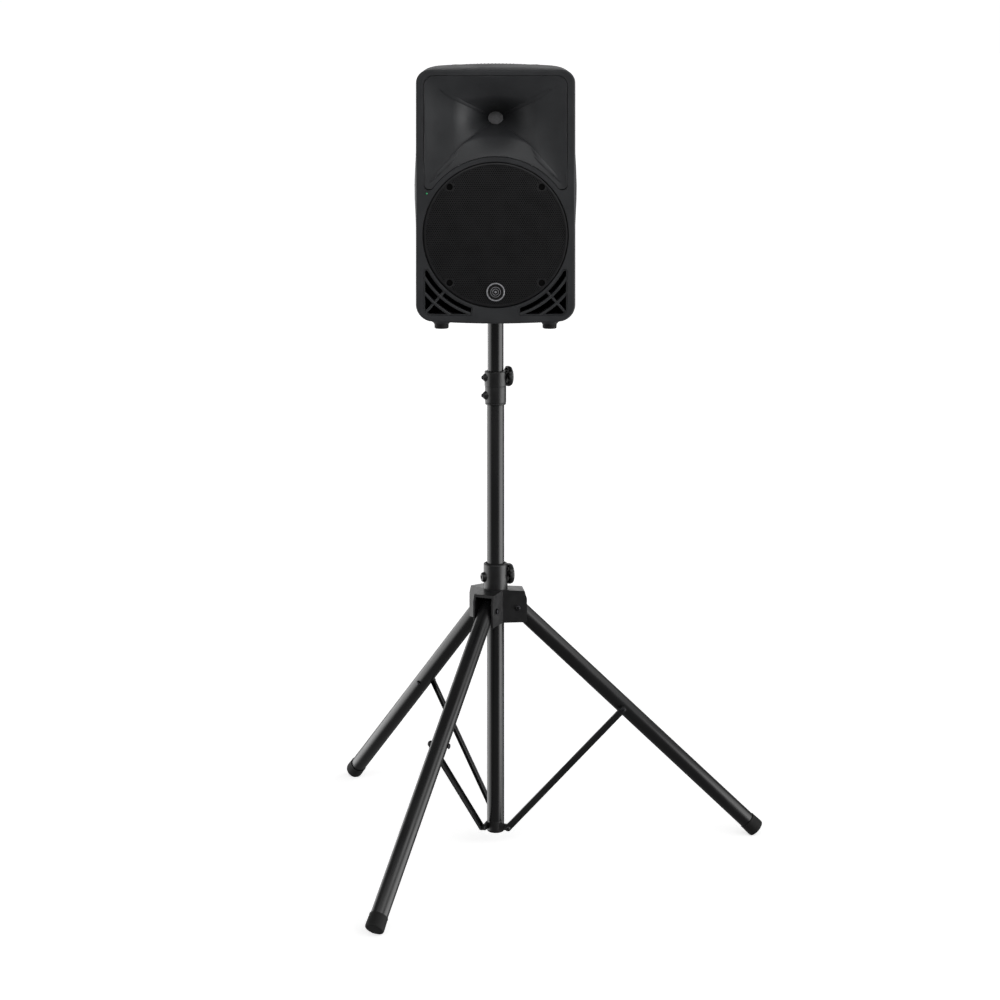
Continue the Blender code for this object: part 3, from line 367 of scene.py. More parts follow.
def slab(name, loops, low, high, matrix=None):
    """Flat outline, inner loops as holes, between two local heights."""
    curve = bpy.data.curves.new(name + "_outline", "CURVE")
    curve.dimensions = "2D"
    curve.fill_mode = "BOTH"
    curve.extrude = (high - low) / 2 * MM
    for loop in loops:
        spline = curve.splines.new("POLY")
        spline.points.add(len(loop) - 1)
        for point, (x, y) in zip(spline.points, loop):
            point.co = (x * MM, y * MM, 0.0, 1.0)
        spline.use_cyclic_u = True
    guide = bpy.data.objects.new(name + "_outline", curve)
    bpy.context.scene.collection.objects.link(guide)
    bpy.context.view_layer.update()
    graph = bpy.context.evaluated_depsgraph_get()
    mesh = bpy.data.meshes.new_from_object(guide.evaluated_get(graph))
    bpy.data.objects.remove(guide, do_unlink=True)
    bpy.data.curves.remove(curve)
    bm = bmesh.new()
    bm.from_mesh(mesh)
    bpy.data.meshes.remove(mesh)
    bmesh.ops.remove_doubles(bm, verts=bm.verts, dist=0.000005)
    bmesh.ops.translate(bm, verts=bm.verts, vec=(0, 0, (high + low) / 2 * MM))
    bmesh.ops.dissolve_limit(
        bm, angle_limit=math.radians(0.5), verts=bm.verts, edges=bm.edges, delimit=set()
    )
    return from_bm(name, bm, matrix)


def box(name, low, high, matrix=None):
    bm = bmesh.new()
    bmesh.ops.create_cube(bm, size=1.0)
    bmesh.ops.scale(bm, verts=bm.verts, vec=[(b - a) * MM for a, b in zip(low, high)])
    bmesh.ops.translate(bm, verts=bm.verts, vec=[(b + a) / 2 * MM for a, b in zip(low, high)])
    return from_bm(name, bm, matrix)


def drum(name, radius, low, high, segments=64, matrix=None):
    return turned(name, [(0, high), (radius, high), (radius, low), (0, low)], segments, matrix=matrix)


def apply_all(ob):
    """Turns an object's modifiers into its own mesh."""
    bpy.context.view_layer.update()
    graph = bpy.context.evaluated_depsgraph_get()
    mesh = bpy.data.meshes.new_from_object(ob.evaluated_get(graph), depsgraph=graph)
    old = ob.data
    ob.modifiers.clear()
    ob.data = mesh
    if old.users == 0:
        bpy.data.meshes.remove(old)
    return ob


def combine(ob, others, operation):
    for other in others:
        mod = ob.modifiers.new("cut", "BOOLEAN")
        mod.operation = operation
        mod.solver = "EXACT"
        mod.object = other
    apply_all(ob)
    for other in others:
        bpy.data.objects.remove(other, do_unlink=True)
    return ob


def cut(ob, *others):
    return combine(ob, others, "DIFFERENCE")


def join(ob, *others):
    return combine(ob, others, "UNION")


def rounded_edges(ob, width, segments=3, angle=35.0, apply=True):
    bm = bmesh.new()
    bm.from_mesh(ob.data)
    bmesh.ops.remove_doubles(bm, verts=bm.verts, dist=0.000004)
    bmesh.ops.dissolve_limit(
        bm, angle_limit=math.radians(0.4), verts=bm.verts, edges=bm.edges, delimit=set()
    )
    bm.to_mesh(ob.data)
    bm.free()
    mod = ob.modifiers.new("edges", "BEVEL")
    mod.width = width * MM
    mod.segments = segments
    mod.limit_method = "ANGLE"
    mod.angle_limit = math.radians(angle)
    mod.miter_outer = "MITER_ARC"
    return apply_all(ob) if apply else ob


def merge(name, obs, matrix=None):
    """One object out of several separate closed bodies."""
    bm = bmesh.new()
    for ob in obs:
        part = ob.data.copy()
        part.transform(ob.matrix_world)
        bm.from_mesh(part)
        bpy.data.meshes.remove(part)
        bpy.data.objects.remove(ob, do_unlink=True)
    mesh = bpy.data.meshes.new(name)
    bm.to_mesh(mesh)
    bm.free()
    return raw(name, mesh, matrix)


used = {}


def keep(ob, name, mat, body, *stands_for, sharp=30.0, slot=None, weighted=False):
    """Names, finishes and hangs a piece on its CAD body."""
    ob.name = name
    ob.data.name = name
    bpy.context.view_layer.update()
    ob.data.transform(ob.matrix_world)
    ob.matrix_world = Matrix.Identity(4)
    ob.data.materials.clear()
    ob.data.materials.append(M[mat])
    for poly in ob.data.polygons:
        poly.material_index = 0
    ob.data.shade_smooth()
    ob.data.set_sharp_from_angle(angle=math.radians(sharp))
    if weighted:
        mod = ob.modifiers.new("normals", "WEIGHTED_NORMAL")
        mod.keep_sharp = True
        mod.weight = 60
    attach(ob, body)
    if stands_for:
        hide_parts(*stands_for)
    used[name] = ob
    return ob


def arc(cx, cy, radius, start, end, count):
    return [
        (
            cx + radius * math.cos(math.radians(start + (end - start) * i / count)),
            cy + radius * math.sin(math.radians(start + (end - start) * i / count)),
        )
        for i in range(count + 1)
    ]


def stadium(x0, y0, x1, y1, radius, count=16):
    heading = math.degrees(math.atan2(y1 - y0, x1 - x0))
    return arc(x1, y1, radius, heading - 90, heading + 90, count) + arc(
        x0, y0, radius, heading + 90, heading + 270, count
    )


def hexagon(radius, start=0.0):
    return arc(0, 0, radius, start, start + 360, 6)[:-1]


def button_head(name, radius, height, seat, tip, shank, socket=2.6, matrix=None, segments=48):
    """Button-head screw with a hexagon socket, head above seat, plain shank down to tip."""
    body = turned(
        name,
        soften(
            [
                (0, seat + height),
                (radius * 0.62, seat + height),
                (radius * 0.9, seat + height * 0.62),
                (radius, seat + height * 0.18),
                (radius, seat),
                (shank, seat),
                (shank, tip),
                (0, tip),
            ],
            [0, 1.2, 0.8, 0.3, 0.15, 0, 0.2, 0],
        ),
        segments,
        matrix=matrix,
    )
    return cut(body, slab(name + "_key", [hexagon(socket)], seat + height * 0.25, seat + height + 3, matrix))


# ------------------------------------------------------------------ column
keep(
    turned(
        "t",
        soften([(17.8, 975), (18.9, 975), (18.9, 26.3), (17.8, 26.3)], 0.35, 2, True),
        112,
        ring=True,
    ),
    "main_tube_skin", "coated_tube", "column", "main_tube",
)
keep(
    turned(
        "t",
        soften([(0, 4.7), (18.5, 4.7), (18.9, 4.3), (18.7, 2.6), (17.4, 0.7), (15.6, 0.0), (9.0, 0.0), (8.0, 0.9), (0, 0.9)],
               [0, 0.3, 0.3, 1.2, 1.2, 1.0, 0.5, 0.4, 0], 4),
        96,
    ),
    "column_cap_rubber", "rubber", "column", "tube_bottom_cap",
)
bracket = turned(
    "t",
    soften([(0, 44), (17.4, 44), (17.4, 26.0), (18.9, 26.0), (18.9, 5.0), (0, 5.0)], [0, 0.6, 0.1, 0.35, 0.5, 0], 2),
    96,
)
lugs = []
for leg, heading in LEGS.items():
    plane = turn(math.radians(heading), "Z") @ TILT_FRONT
    lugs.append(
        rounded_edges(
            slab(
                "lug",
                [
                    [(6.0, 6.0), (PIN_R - 1.5, PIN_Z - 6.2)]
                    + arc(PIN_R, PIN_Z, 6.2, -80, 80, 14)
                    + [(PIN_R - 1.5, PIN_Z + 6.2), (6.0, 22.5)]
                ],
                12.6, 19.0, plane,
            ),
            0.9, 3,
        )
    )
keep(join(bracket, *lugs), "column_foot_bracket", "moulded_nylon", "column", "bottom_bracket", sharp=34)

knob_axis = turn(KNOB_TURN, "Z") @ turn(math.pi / 2, "Y")
ear_axis = turn(math.pi + KNOB_TURN, "Z") @ turn(math.pi / 2, "Y")

collar = turned(
    "t",
    soften(
        [
            (19.4, 1014), (22.9, 1014), (24.3, 1012.2), (24.3, 981.6), (23.4, 980.6), (22.4, 980.6),
            (22.4, 979.2), (23.3, 979.2), (23.3, 945.4), (22.7, 944.9), (22.3, 944.4), (22.3, 943.6),
            (23.1, 943.0), (23.1, 941.6), (22.2, 940), (19.2, 940), (19.2, 975.3), (17.8, 975.3),
            (17.8, 1011.6), (19.0, 1011.6),
        ],
        [0.5, 0.9, 1.2, 0.4, 0.3, 0.1, 0.1, 0.3, 0.3, 0.2, 0.2, 0.2, 0.4, 0.5, 0.5, 0.2, 0, 0, 0, 0],
        3, True,
    ),
    112, ring=True,
)
adds = [
    turned("boss", soften([(0, 25.6), (7.0, 25.6), (8.6, 24.4), (9.6, 19.0), (0, 19.0)], [0, 0.8, 0.8, 0, 0]), 48,
           matrix=place(z=1001) @ knob_axis),
]
EARS = {"upper": 1000.0, "lower": 960.5}
for which, height in EARS.items():
    adds.append(
        turned("ear", soften([(0, 29.6), (4.6, 29.6), (6.6, 28.0), (9.2, 24.4), (11.8, 20.6), (0, 20.6)], [0, 0.7, 1.6, 1.6, 0, 0]), 48,
               matrix=place(z=height) @ ear_axis)
    )
join(collar, *adds)
cut(
    collar,
    drum("thread", 4.4, 17.5, 40, 32, place(z=1001) @ knob_axis),
    *[drum("hole", 2.4, 23.0, 40, 24, place(z=h) @ ear_axis) for h in EARS.values()],
)
keep(collar, "clamp_collar", "moulded_nylon", "column", "upper_collar", sharp=32)
for which, height in EARS.items():
    keep(
        button_head("t", 4.2, 2.7, 29.9, 23.4, 2.0, 1.8, place(z=height) @ ear_axis, 32),
        "collar_screw_head_" + which, "dark_steel", "column", "collar_screw_" + which,
    )
# soft sealing rings where the pole and the column leave their sleeves
keep(
    turned("t", soften([(17.75, 1014.2), (19.0, 1014.2), (19.3, 1013.4), (19.0, 1011.9), (17.75, 1011.9)], 0.25, 2, True), 96, ring=True),
    "pole_wiper_ring", "rubber", "column",
)


def scalloped(r, z, a):
    if r > 17.5:
        return r - 1.15 * (0.5 - 0.5 * math.cos(9 * a)) ** 1.6 * min(1.0, (r - 17.5) / 4.0), z
    return r, z


def knob(height, tip, s, name, body, node):
    axis = place(z=height) @ knob_axis
    cup = turned(
        "t",
        soften(
            [
                (0, s + 10.9), (7.6, s + 10.9), (8.4, s + 11.5), (13.0, s + 11.5), (19.0, s + 10.8), (22.0, s + 8.8),
                (22.6, s + 6.0), (22.6, s + 2.4), (21.8, s), (19.8, s), (19.0, s + 1.6), (18.6, s + 7.6),
                (7.4, s + 7.9), (7.0, s + 1.4), (4.2, s + 1.0), (4.2, s + 1.9), (0, s + 1.9),
            ],
            [0, 0.2, 0.3, 2.0, 2.0, 1.6, 1.2, 1.2, 0.8, 0.8, 0.8, 1.2, 0.8, 0.5, 0.2, 0.2, 0], 3,
        ),
        144, matrix=axis, shape=scalloped,
    )
    ribs = []
    for k in range(6):
        rib = box("rib", (6.4, -0.9, s + 2.6), (19.4, 0.9, s + 8.6), axis @ turn(math.radians(60 * k + 15), "Z"))
        ribs.append(rib)
    join(cup, *ribs)
    keep(cup, name, "moulded_nylon", body, node, sharp=36)
    keep(
        turned("t", soften([(0, s + 1.7), (3.9, s + 1.7), (3.9, tip + 1.0), (3.1, tip), (0, tip)], [0, 0.1, 0.3, 0.3, 0], 2), 40, matrix=axis),
        name + "_screw", "zinc", body, slot="dark_steel",
    )
    keep(
        turned("t", soften([(0, s + 11.4), (5.4, s + 11.4), (7.0, s + 11.2), (7.3, s + 10.95), (0, s + 10.95)], [0, 0.6, 0.3, 0, 0], 3), 64, matrix=axis),
        name + "_cap", "dark_steel", body,
    )


knob(1001.0, 17.95, 25.2, "upper_clamp_knob", "upper_clamp", "upper_knob")

# ------------------------------------------------------------------ sliding hub
HUB_LOW, ARM_TOP, HUB_TOP = PIVOT_Z - 32.0, PIVOT_Z + 37.0, PIVOT_Z + 95.0
hub = turned(
    "t",
    soften(
        [
            (0, HUB_TOP), (24.6, HUB_TOP), (26.5, HUB_TOP - 1.6), (26.5, ARM_TOP + 6.0), (26.5, HUB_LOW + 1.0), (25.5, HUB_LOW), (0, HUB_LOW),
        ],
        [0, 0.9, 1.2, 0, 0.8, 0.8, 0], 3,
    ),
    112,
)
arms = []
for leg, heading in LEGS.items():
    profile = [
        (0, HUB_LOW), (66.0, HUB_LOW), (67.0, HUB_LOW + 1.0), (67.0, ARM_TOP - 17.0), (61.5, ARM_TOP), (0, ARM_TOP + 3.5),
    ]
    arms.append(
        slab("arm", [profile], -23.5, 23.5, turn(math.radians(heading), "Z") @ TILT_FRONT)
    )
join(hub, *arms)
slots = []
for leg, heading in LEGS.items():
    slots.append(
        slab(
            "slot",
            [[(24.6, HUB_LOW - 6), (80, HUB_LOW - 6), (80, ARM_TOP - 6.5), (60.0, ARM_TOP - 5.5), (24.6, ARM_TOP - 5.5)]],
            -19.4, 19.4, turn(math.radians(heading), "Z") @ TILT_FRONT,
        )
    )
cut(hub, *slots)
rounded_edges(hub, 1.5, 3, 38)
boss = turned("boss", soften([(0, 33.0), (7.6, 33.0), (9.9, 31.2), (10.7, 28.0), (12.4, 22.4), (12.4, 20.0), (0, 20.0)], [0, 1.0, 1.2, 1.5, 1, 0, 0]), 56,
              matrix=place(z=561) @ ear_axis)
boss2 = turned("boss", soften([(0, 27.2), (8.4, 27.2), (9.8, 26.0), (11.4, 22.0), (0, 20.0)], [0, 0.8, 0.9, 0, 0]), 56,
               matrix=place(z=565) @ knob_axis)
join(hub, boss, boss2)
cut(
    hub,
    drum("bore", 19.3, HUB_LOW - 8, HUB_TOP + 8, 112),
    drum("thread", 4.4, 15, 60, 32, place(z=565) @ knob_axis),
    slab("nut", [hexagon(4.6)], 26.5, 60, place(z=561) @ ear_axis),
)
keep(hub, "sliding_hub", "moulded_nylon", "hub", "leg_hub", sharp=33, weighted=True)
keep(
    turned("t", soften([(19.1, HUB_TOP + 0.3), (22.6, HUB_TOP + 0.3), (23.2, HUB_TOP - 0.1), (19.1, HUB_TOP - 0.1)], 0.15, 2, True), 96, ring=True),
    "hub_wiper_ring", "rubber", "hub",
)
keep(
    turned("t", soften([(0, 29.4), (2.2, 29.4), (3.6, 28.4), (3.6, 26.9), (0, 26.9)], [0, 0.6, 0.6, 0, 0], 2), 32, matrix=place(z=561) @ ear_axis),
    "hub_clamp_nut", "zinc", "hub", slot="dark_steel",
)
knob(565.0, 19.25, 27.4, "hub_clamp_knob", "hub_clamp", "hub_knob")
for leg, heading in LEGS.items():
    across = turn(math.radians(heading), "Z") @ place(PIVOT_R, 0, PIVOT_Z) @ turn(math.pi / 2, "X")
    bolt = button_head("t", 6.6, 3.6, 23.9, -23.0, 4.0, 3.1, across)
    nut = rounded_edges(slab("nut", [hexagon(6.6, 15)], -27.6, -23.9, across), 0.5, 2)
    keep(merge("t", [bolt, nut]), "hub_pivot_bolt_" + leg, "dark_steel", "hub", "leg_pivot_bolt_" + leg)

# ------------------------------------------------------------------ legs
for leg, heading in LEGS.items():
    spin = turn(math.radians(heading), "Z")
    pivot = spin @ place(PIVOT_R, 0, PIVOT_Z) @ turn(-LEG_TILT, "Y")
    side = turn(math.pi / 2, "X")
    end = -(LEG_LENGTH - 4.3)
    body = "leg_" + leg
    keep(
        turned("t", soften([(16.4, 11.0), (18.0, 11.0), (18.0, end), (16.4, end)], 0.4, 2, True), 96, ring=True, matrix=pivot),
        "leg_tube_skin_" + leg, "coated_tube", body, "leg_tube_" + leg,
    )
    keep(
        turned("t", soften([(0, 12.9), (10.0, 12.6), (16.6, 12.0), (17.9, 11.2), (16.3, 10.9), (16.3, 2.0), (0, 2.0)], [0, 3, 1.2, 0.4, 0.1, 0.2, 0], 4), 72, matrix=pivot),
        "leg_end_plug_" + leg, "moulded_nylon", body,
    )
    L = LEG_LENGTH
    cup = turned(
        "t",
        soften(
            [
                (0, -L + 4.0), (18.3, -L + 4.0), (18.3, -(L - 29.2)), (18.9, -(L - 29.8)), (19.5, -(L - 28.6)), (19.2, -(L - 24.5)),
                (19.7, -(L - 12.0)), (19.9, -L + 4.2), (19.2, -L + 1.2), (17.4, -L), (0, -L),
            ],
            [0, 0.1, 0.3, 0.3, 0.5, 2.0, 3.0, 2.5, 1.6, 1.6, 0], 4,
        ),
        112, matrix=pivot,
    )
    cut(cup, box("floor", (-1300, -1300, GROUND - 80), (1300, 1300, GROUND)))
    keep(cup, "leg_foot_cup_" + leg, "rubber", body, "leg_foot_" + leg, sharp=34)
    bolt_axis = pivot @ place(-BRACE_DROP, 0, -BRACE_AT) @ side
    near, far = 19.3, 25.8
    bolt = button_head("t", 5.4, 3.0, far + 0.3, far - 1.8, 3.0, 2.3, bolt_axis, 40)
    sleeve = turned("t", soften([(0, far - 1.9), (5.0, far - 1.9), (5.0, 18.4), (3.0, 18.4), (3.0, -18.4), (5.6, -18.4), (5.6, -20.0), (3.8, -21.2), (0, -21.4)],
                                [0, 0.3, 0.2, 0, 0, 0.2, 0.5, 0.8, 0], 2), 48, matrix=bolt_axis)
    keep(merge("t", [bolt, sleeve]), "brace_bolt_head_" + leg, "dark_steel", body, "brace_bolt_" + leg)

    strut = spin @ place(PIN_OUT, 0, PIN_UP) @ turn(BRACE_TILT, "Y")
    outer = slab("t", [stadium(0, -BRACE_LENGTH, 0, 0, 7.0)], near, far, strut @ side)
    rounded_edges(outer, 0.9, 3)
    cut(outer, slab("c", [stadium(0, -BRACE_LENGTH, 0, 0, 5.6)], near - 3, far - 1.4, strut @ side),
        drum("eye", 3.4, 10, 40, 32, strut @ side))
    # the long web is dished between its two ends
    web = slab("w", [stadium(0, -BRACE_LENGTH + 26, 0, -26, 2.6, 12)], far - 0.55, far + 3, strut @ side)
    cut(outer, web)
    rivet = turned(
        "r",
        soften([(0, far + 2.6), (2.6, far + 2.3), (4.4, far + 1.0), (4.6, far + 0.05), (2.6, far + 0.05), (2.6, near + 0.1), (0, near + 0.1)],
               [0, 1.2, 0.8, 0.2, 0, 0.2, 0], 4),
        40, matrix=strut @ place(z=-BRACE_LENGTH) @ side,
    )
    keep(merge("t", [outer, rivet]), "brace_channel_" + leg, "coated_tube", "strut_" + leg, "brace_" + leg, sharp=34)

# ------------------------------------------------------------------ telescoping pole
keep(
    turned("t", soften([(16.0, 1222), (16.7, 1222), (17.5, 1221.2), (17.5, 323), (16.0, 323)], [0.2, 0.3, 0.4, 0.3, 0.2], 2, True), 112, ring=True),
    "inner_pole_skin", "coated_tube", "pole", "inner_pole",
)
keep(
    turned("t", soften([(0, 1222.2), (15.5, 1222.2), (15.9, 1221.5), (15.9, 1210), (0, 1210)], [0, 0.4, 0.3, 0.4, 0], 2), 72),
    "pole_end_plug", "moulded_nylon", "pole",
)


# ------------------------------------------------------------------ cabinet
HALF_W, CAB_LOW, CAB_HIGH, FRONT = 170.5, 1143.0, 1679.0, 158.0
GRILLE_R = 155.5
THROAT_Z, THROAT_R, HORN_DEPTH = 1573.0, 16.5, 95.0
SCREWS = ((-98.5, 102.5), (98.5, 102.5), (-98.5, -102.5), (98.5, -102.5))


def rounded(w, low, high, r_top, r_low, crown=0.0, sag=7.0, bulge=0.0, corner=14, span=14):
    pts = arc(w - r_top, high - r_top, r_top, 0, 90, corner)
    for i in range(1, span + 1):
        pts.append((w - r_top - (2 * w - 2 * r_top) * i / (span + 1), high))
    pts += arc(-w + r_top, high - r_top, r_top, 90, 180, corner)
    for i in range(1, span + 1):
        pts.append((-w, high - r_top - (high - low - r_top - r_low) * i / (span + 1)))
    pts += arc(-w + r_low, low + r_low, r_low, 180, 270, corner)
    for i in range(1, span + 1):
        pts.append((-w + r_low + (2 * w - 2 * r_low) * i / (span + 1), low))
    pts += arc(w - r_low, low + r_low, r_low, 270, 360, corner)
    for i in range(1, span + 1):
        pts.append((w, low + r_low + (high - low - r_top - r_low) * i / (span + 1)))
    out = []
    middle = (low + high) / 2
    for x, z in pts:
        drop = 1 - (x / w) ** 2
        z2 = z + crown * drop if z > middle else z - sag * drop
        swell = bulge * math.exp(-(((z - 1421.0) / 75.0) ** 2)) * (abs(x) / w) ** 6
        out.append((x + math.copysign(swell, x), z2))
    return out


def horn_outline(gap, top_r=20.0, corner=12, arc_count=44):
    w = 152.5 - gap
    top = 1665.0 - gap
    big = 168.0 + gap
    f = 11.0 - gap * 0.4
    r = top_r - gap
    cx = w - f
    cz = GRILLE_Z + math.sqrt((big + f) ** 2 - cx * cx)
    lean = math.degrees(math.atan2(cz - GRILLE_Z, cx))
    pts = arc(w - r, top - r, r, 0, 90, corner)
    for i in range(1, 26):
        pts.append((w - r - (2 * w - 2 * r) * i / 26, top))
    pts += arc(-w + r, top - r, r, 90, 180, corner)
    for i in range(1, 20):
        pts.append((-w, top - r - (top - r - cz) * i / 20))
    pts += arc(-cx, cz, f, 180, 360 - lean, corner)
    pts += arc(0, GRILLE_Z, big, 180 - lean, lean, arc_count)[1:-1]
    pts += arc(cx, cz, f, 180 + lean, 360, corner)
    for i in range(1, 20):
        pts.append((w, cz + (top - r - cz) * i / 20))
    return pts


def port_outline(side, gap, corner=12, arc_count=30):
    out, inn = 153.0 - gap, 50.0 + gap
    low, high = 1153.8 + gap, 1252.0 - gap
    big = 162.0 + gap
    r = 15.0 - gap
    start = math.degrees(math.asin((GRILLE_Z - high) / big))
    end = math.degrees(math.acos(inn / big))
    pts = [(inn, low)]
    pts += [(-x, z) for x, z in arc(-out + r, low + r, r, 270, 180, corner)]
    pts += [(out, high)]
    pts += [
        (big * math.cos(math.radians(a)), GRILLE_Z - big * math.sin(math.radians(a)))
        for a in [start + (end - start) * i / arc_count for i in range(arc_count + 1)]
    ]
    radii = [5.0] + [0] * (corner + 1) + [3.0] + [3.0] + [0] * (arc_count - 1) + [5.0]
    pts = soften(pts, radii, 4, True)
    return [(side * x, z) for x, z in pts]


def front_bevel(ob, z_level, inside, width, segments):
    """Rounds the edges lying at one local height whose points pass a test."""
    bm = bmesh.new()
    bm.from_mesh(ob.data)
    picked = []
    for e in bm.edges:
        if all(abs(v.co.z - z_level * MM) < 1e-6 for v in e.verts) and len(e.link_faces) == 2:
            if e.calc_face_angle(0) > math.radians(40) and inside((e.verts[0].co + e.verts[1].co) / 2 / MM):
                picked.append(e)
    bmesh.ops.bevel(
        bm, geom=picked, offset=width * MM, segments=segments, profile=0.5, affect="EDGES", clamp_overlap=True,
    )
    bm.to_mesh(ob.data)
    bm.free()
    return ob


baffle = slab(
    "t",
    [rounded(HALF_W, CAB_LOW, CAB_HIGH, 29.0, 34.0), horn_outline(-1.5), port_outline(-1, -0.4), port_outline(1, -0.4)],
    140.0, FRONT, None,
)
cut(
    baffle,
    drum("recess", GRILLE_R + 1.1, 150.0, 175, 180, place(0, GRILLE_Z, 0)),
    drum("ledge", 132.4, 146.0, 175, 96, place(0, GRILLE_Z, 0)),
    drum("hole", 121.5, 130.0, 175, 96, place(0, GRILLE_Z, 0)),
    drum("led", 2.4, 130, 175, 32, place(-147.0, 1414.0, 0)),
)
outer_w, outer_lo, outer_hi = HALF_W - 4.0, CAB_LOW + 4.0, CAB_HIGH - 4.0


def at_outside(p):
    if abs(p.x) > outer_w or p.y > outer_hi or p.y < outer_lo:
        return True
    return abs(p.x) > 135 and (p.y > 1648 or p.y < 1180) and not (
        (abs(p.x) <= 154.5 and p.y <= 1667 and p.y > 1400) or (abs(p.x) <= 154 and p.y < 1300 and p.y > 1152.8)
    )


front_bevel(baffle, FRONT, at_outside, 4.2, 6)
front_bevel(baffle, FRONT, lambda p: True, 1.1, 4)
baffle.matrix_world = TILT_FRONT
keep(baffle, "front_baffle_skin", "cabinet", "speaker", "front_baffle", sharp=33, weighted=True)

# rear body: smooth loft through the same sections as the frame's shell
SECTIONS = (
    (-139.7, 170.5, 1143.0, 1679.0, 30.0, 34.0, 0.0, 0.0),
    (-122.0, 170.5, 1143.0, 1680.0, 32.0, 36.0, 3.0, 2.0),
    (-60.0, 171.0, 1142.5, 1682.0, 38.0, 40.0, 8.0, 5.0),
    (20.0, 160.0, 1142.0, 1683.0, 44.0, 44.0, 8.0, 4.0),
    (90.0, 130.0, 1142.0, 1680.0, 46.0, 44.0, 7.0, 0.0),
    (148.0, 104.0, 1146.0, 1672.0, 42.0, 40.0, 5.0, 0.0),
    (158.0, 97.0, 1154.0, 1663.0, 36.0, 34.0, 4.0, 0.0),
)


def section_at(y):
    for a, b in zip(SECTIONS, SECTIONS[1:]):
        if a[0] <= y <= b[0]:
            i = SECTIONS.index(a)
            before = SECTIONS[max(i - 1, 0)]
            after = SECTIONS[min(i + 2, len(SECTIONS) - 1)]
            span = b[0] - a[0]
            t = (y - a[0]) / span
            out = []
            for k in range(1, 8):
                ma = (b[k] - before[k]) / max(b[0] - before[0], 1e-6) * span if i > 0 else (b[k] - a[k])
                mb = (after[k] - a[k]) / max(after[0] - a[0], 1e-6) * span if i + 2 < len(SECTIONS) else (b[k] - a[k])
                h = (
                    (2 * t**3 - 3 * t**2 + 1) * a[k] + (t**3 - 2 * t**2 + t) * ma
                    + (-2 * t**3 + 3 * t**2) * b[k] + (t**3 - t**2) * mb
                )
                out.append(h)
            return out
    return list(SECTIONS[-1][1:])


depths = [-139.4, -139.0, -138.2, -136.0, -128.0, -124.6, -124.2, -123.8, -122.2, -121.8, -121.4]
depths += [-112, -100, -88, -76, -64, -52, -40, -28, -16, -4, 8, 20, 32, 44, 56, 68, 80, 92, 104, 116, 128, 138, 145]
tail = [(148.0, 0.0), (151.5, 1.2), (154.5, 3.6), (156.6, 6.8), (157.7, 10.5), (158.0, 15.0)]
bm = bmesh.new()
rings = []
for y in depths:
    w, low, high, rt, rl, crown, swell = section_at(y)
    inset = 0.0
    if y <= -138.2:
        inset = {-139.4: 1.5, -139.0: 0.7, -138.2: 0.1}[y]        # rounded lip behind the front frame
    if -124.0 < y < -122.0:
        inset = 1.6                                                # moulded groove round the cabinet
    w, low, high = w - inset, low + inset, high - inset
    rings.append([bm.verts.new((x * MM, y * MM, z * MM)) for x, z in rounded(w, low, high, rt, rl, crown, 7.0, swell)])
w0, low0, high0, rt0, rl0, c0, s0 = section_at(148.0)
for y, inset in tail:
    rings.append(
        [
            bm.verts.new((x * MM, y * MM, z * MM))
            for x, z in rounded(w0 - inset, low0 + inset, high0 - inset, max(rt0 - inset, 8), max(rl0 - inset, 8), c0, 7.0, 0.0)
        ]
    )
for a, b in zip(rings, rings[1:]):
    for i in range(len(a)):
        j = (i + 1) % len(a)
        bm.faces.new((a[i], a[j], b[j], b[i]))
bm.faces.new(rings[-1])
bmesh.ops.recalc_face_normals(bm, faces=bm.faces)
bm.normal_update()
big_face = max(bm.faces, key=lambda f: len(f.verts))
if big_face.normal.y < 0:
    bmesh.ops.reverse_faces(bm, faces=bm.faces)
mesh = bpy.data.meshes.new("t")
bm.to_mesh(mesh)
bm.free()
shell = raw("t", mesh)
solid = shell.modifiers.new("wall", "SOLIDIFY")
solid.thickness = 4.0 * MM
solid.offset = -1.0
solid.use_even_offset = True
apply_all(shell)
PANEL_HW, PANEL_LO, PANEL_HI = 82.0, 1205.5, 1554.5
opening = rounded_edges(box("o", (-PANEL_HW - 0.5, 130, PANEL_LO - 0.5), (PANEL_HW + 0.5, 185, PANEL_HI + 0.5)), 0.2, 1)
handle_hole = box("h", (-100.5, -35.5, 1655), (100.5, 35.5, 1720))
socket_hole = drum("s", 26.4, 1120, 1165, 96)
points = []
for sx in (-1, 1):
    for z in (1610.0, 1230.0):
        points.append(drum("p", 9.0, -10, 10, 48, place(sx * 174.0, -40.0, z) @ turn(math.pi / 2, "Y")))
cut(shell, opening, handle_hole, socket_hole, *points)
keep(shell, "rear_shell_skin", "cabinet", "speaker", "rear_shell", sharp=36)

# threaded rigging points let into the sides
n = 0
for sx in (-1, 1):
    for z in (1610.0, 1230.0):
        n += 1
        facing = place(0, -40.0, z) @ turn(sx * math.pi / 2, "Y")
        edge = 171.5
        keep(
            turned(
                "t",
                soften([(0, edge - 4.5), (3.1, edge - 4.5), (3.4, edge - 1.2), (6.0, edge - 0.9), (6.4, edge + 0.3), (8.5, edge + 0.1), (8.8, edge - 0.6), (8.8, edge - 9), (0, edge - 9)],
                       [0, 0.1, 0.2, 0.3, 0.3, 0.4, 0.2, 0.2, 0], 2),
                56, matrix=facing,
            ),
            "rigging_insert_%d" % n, "moulded_nylon", "speaker",
        )

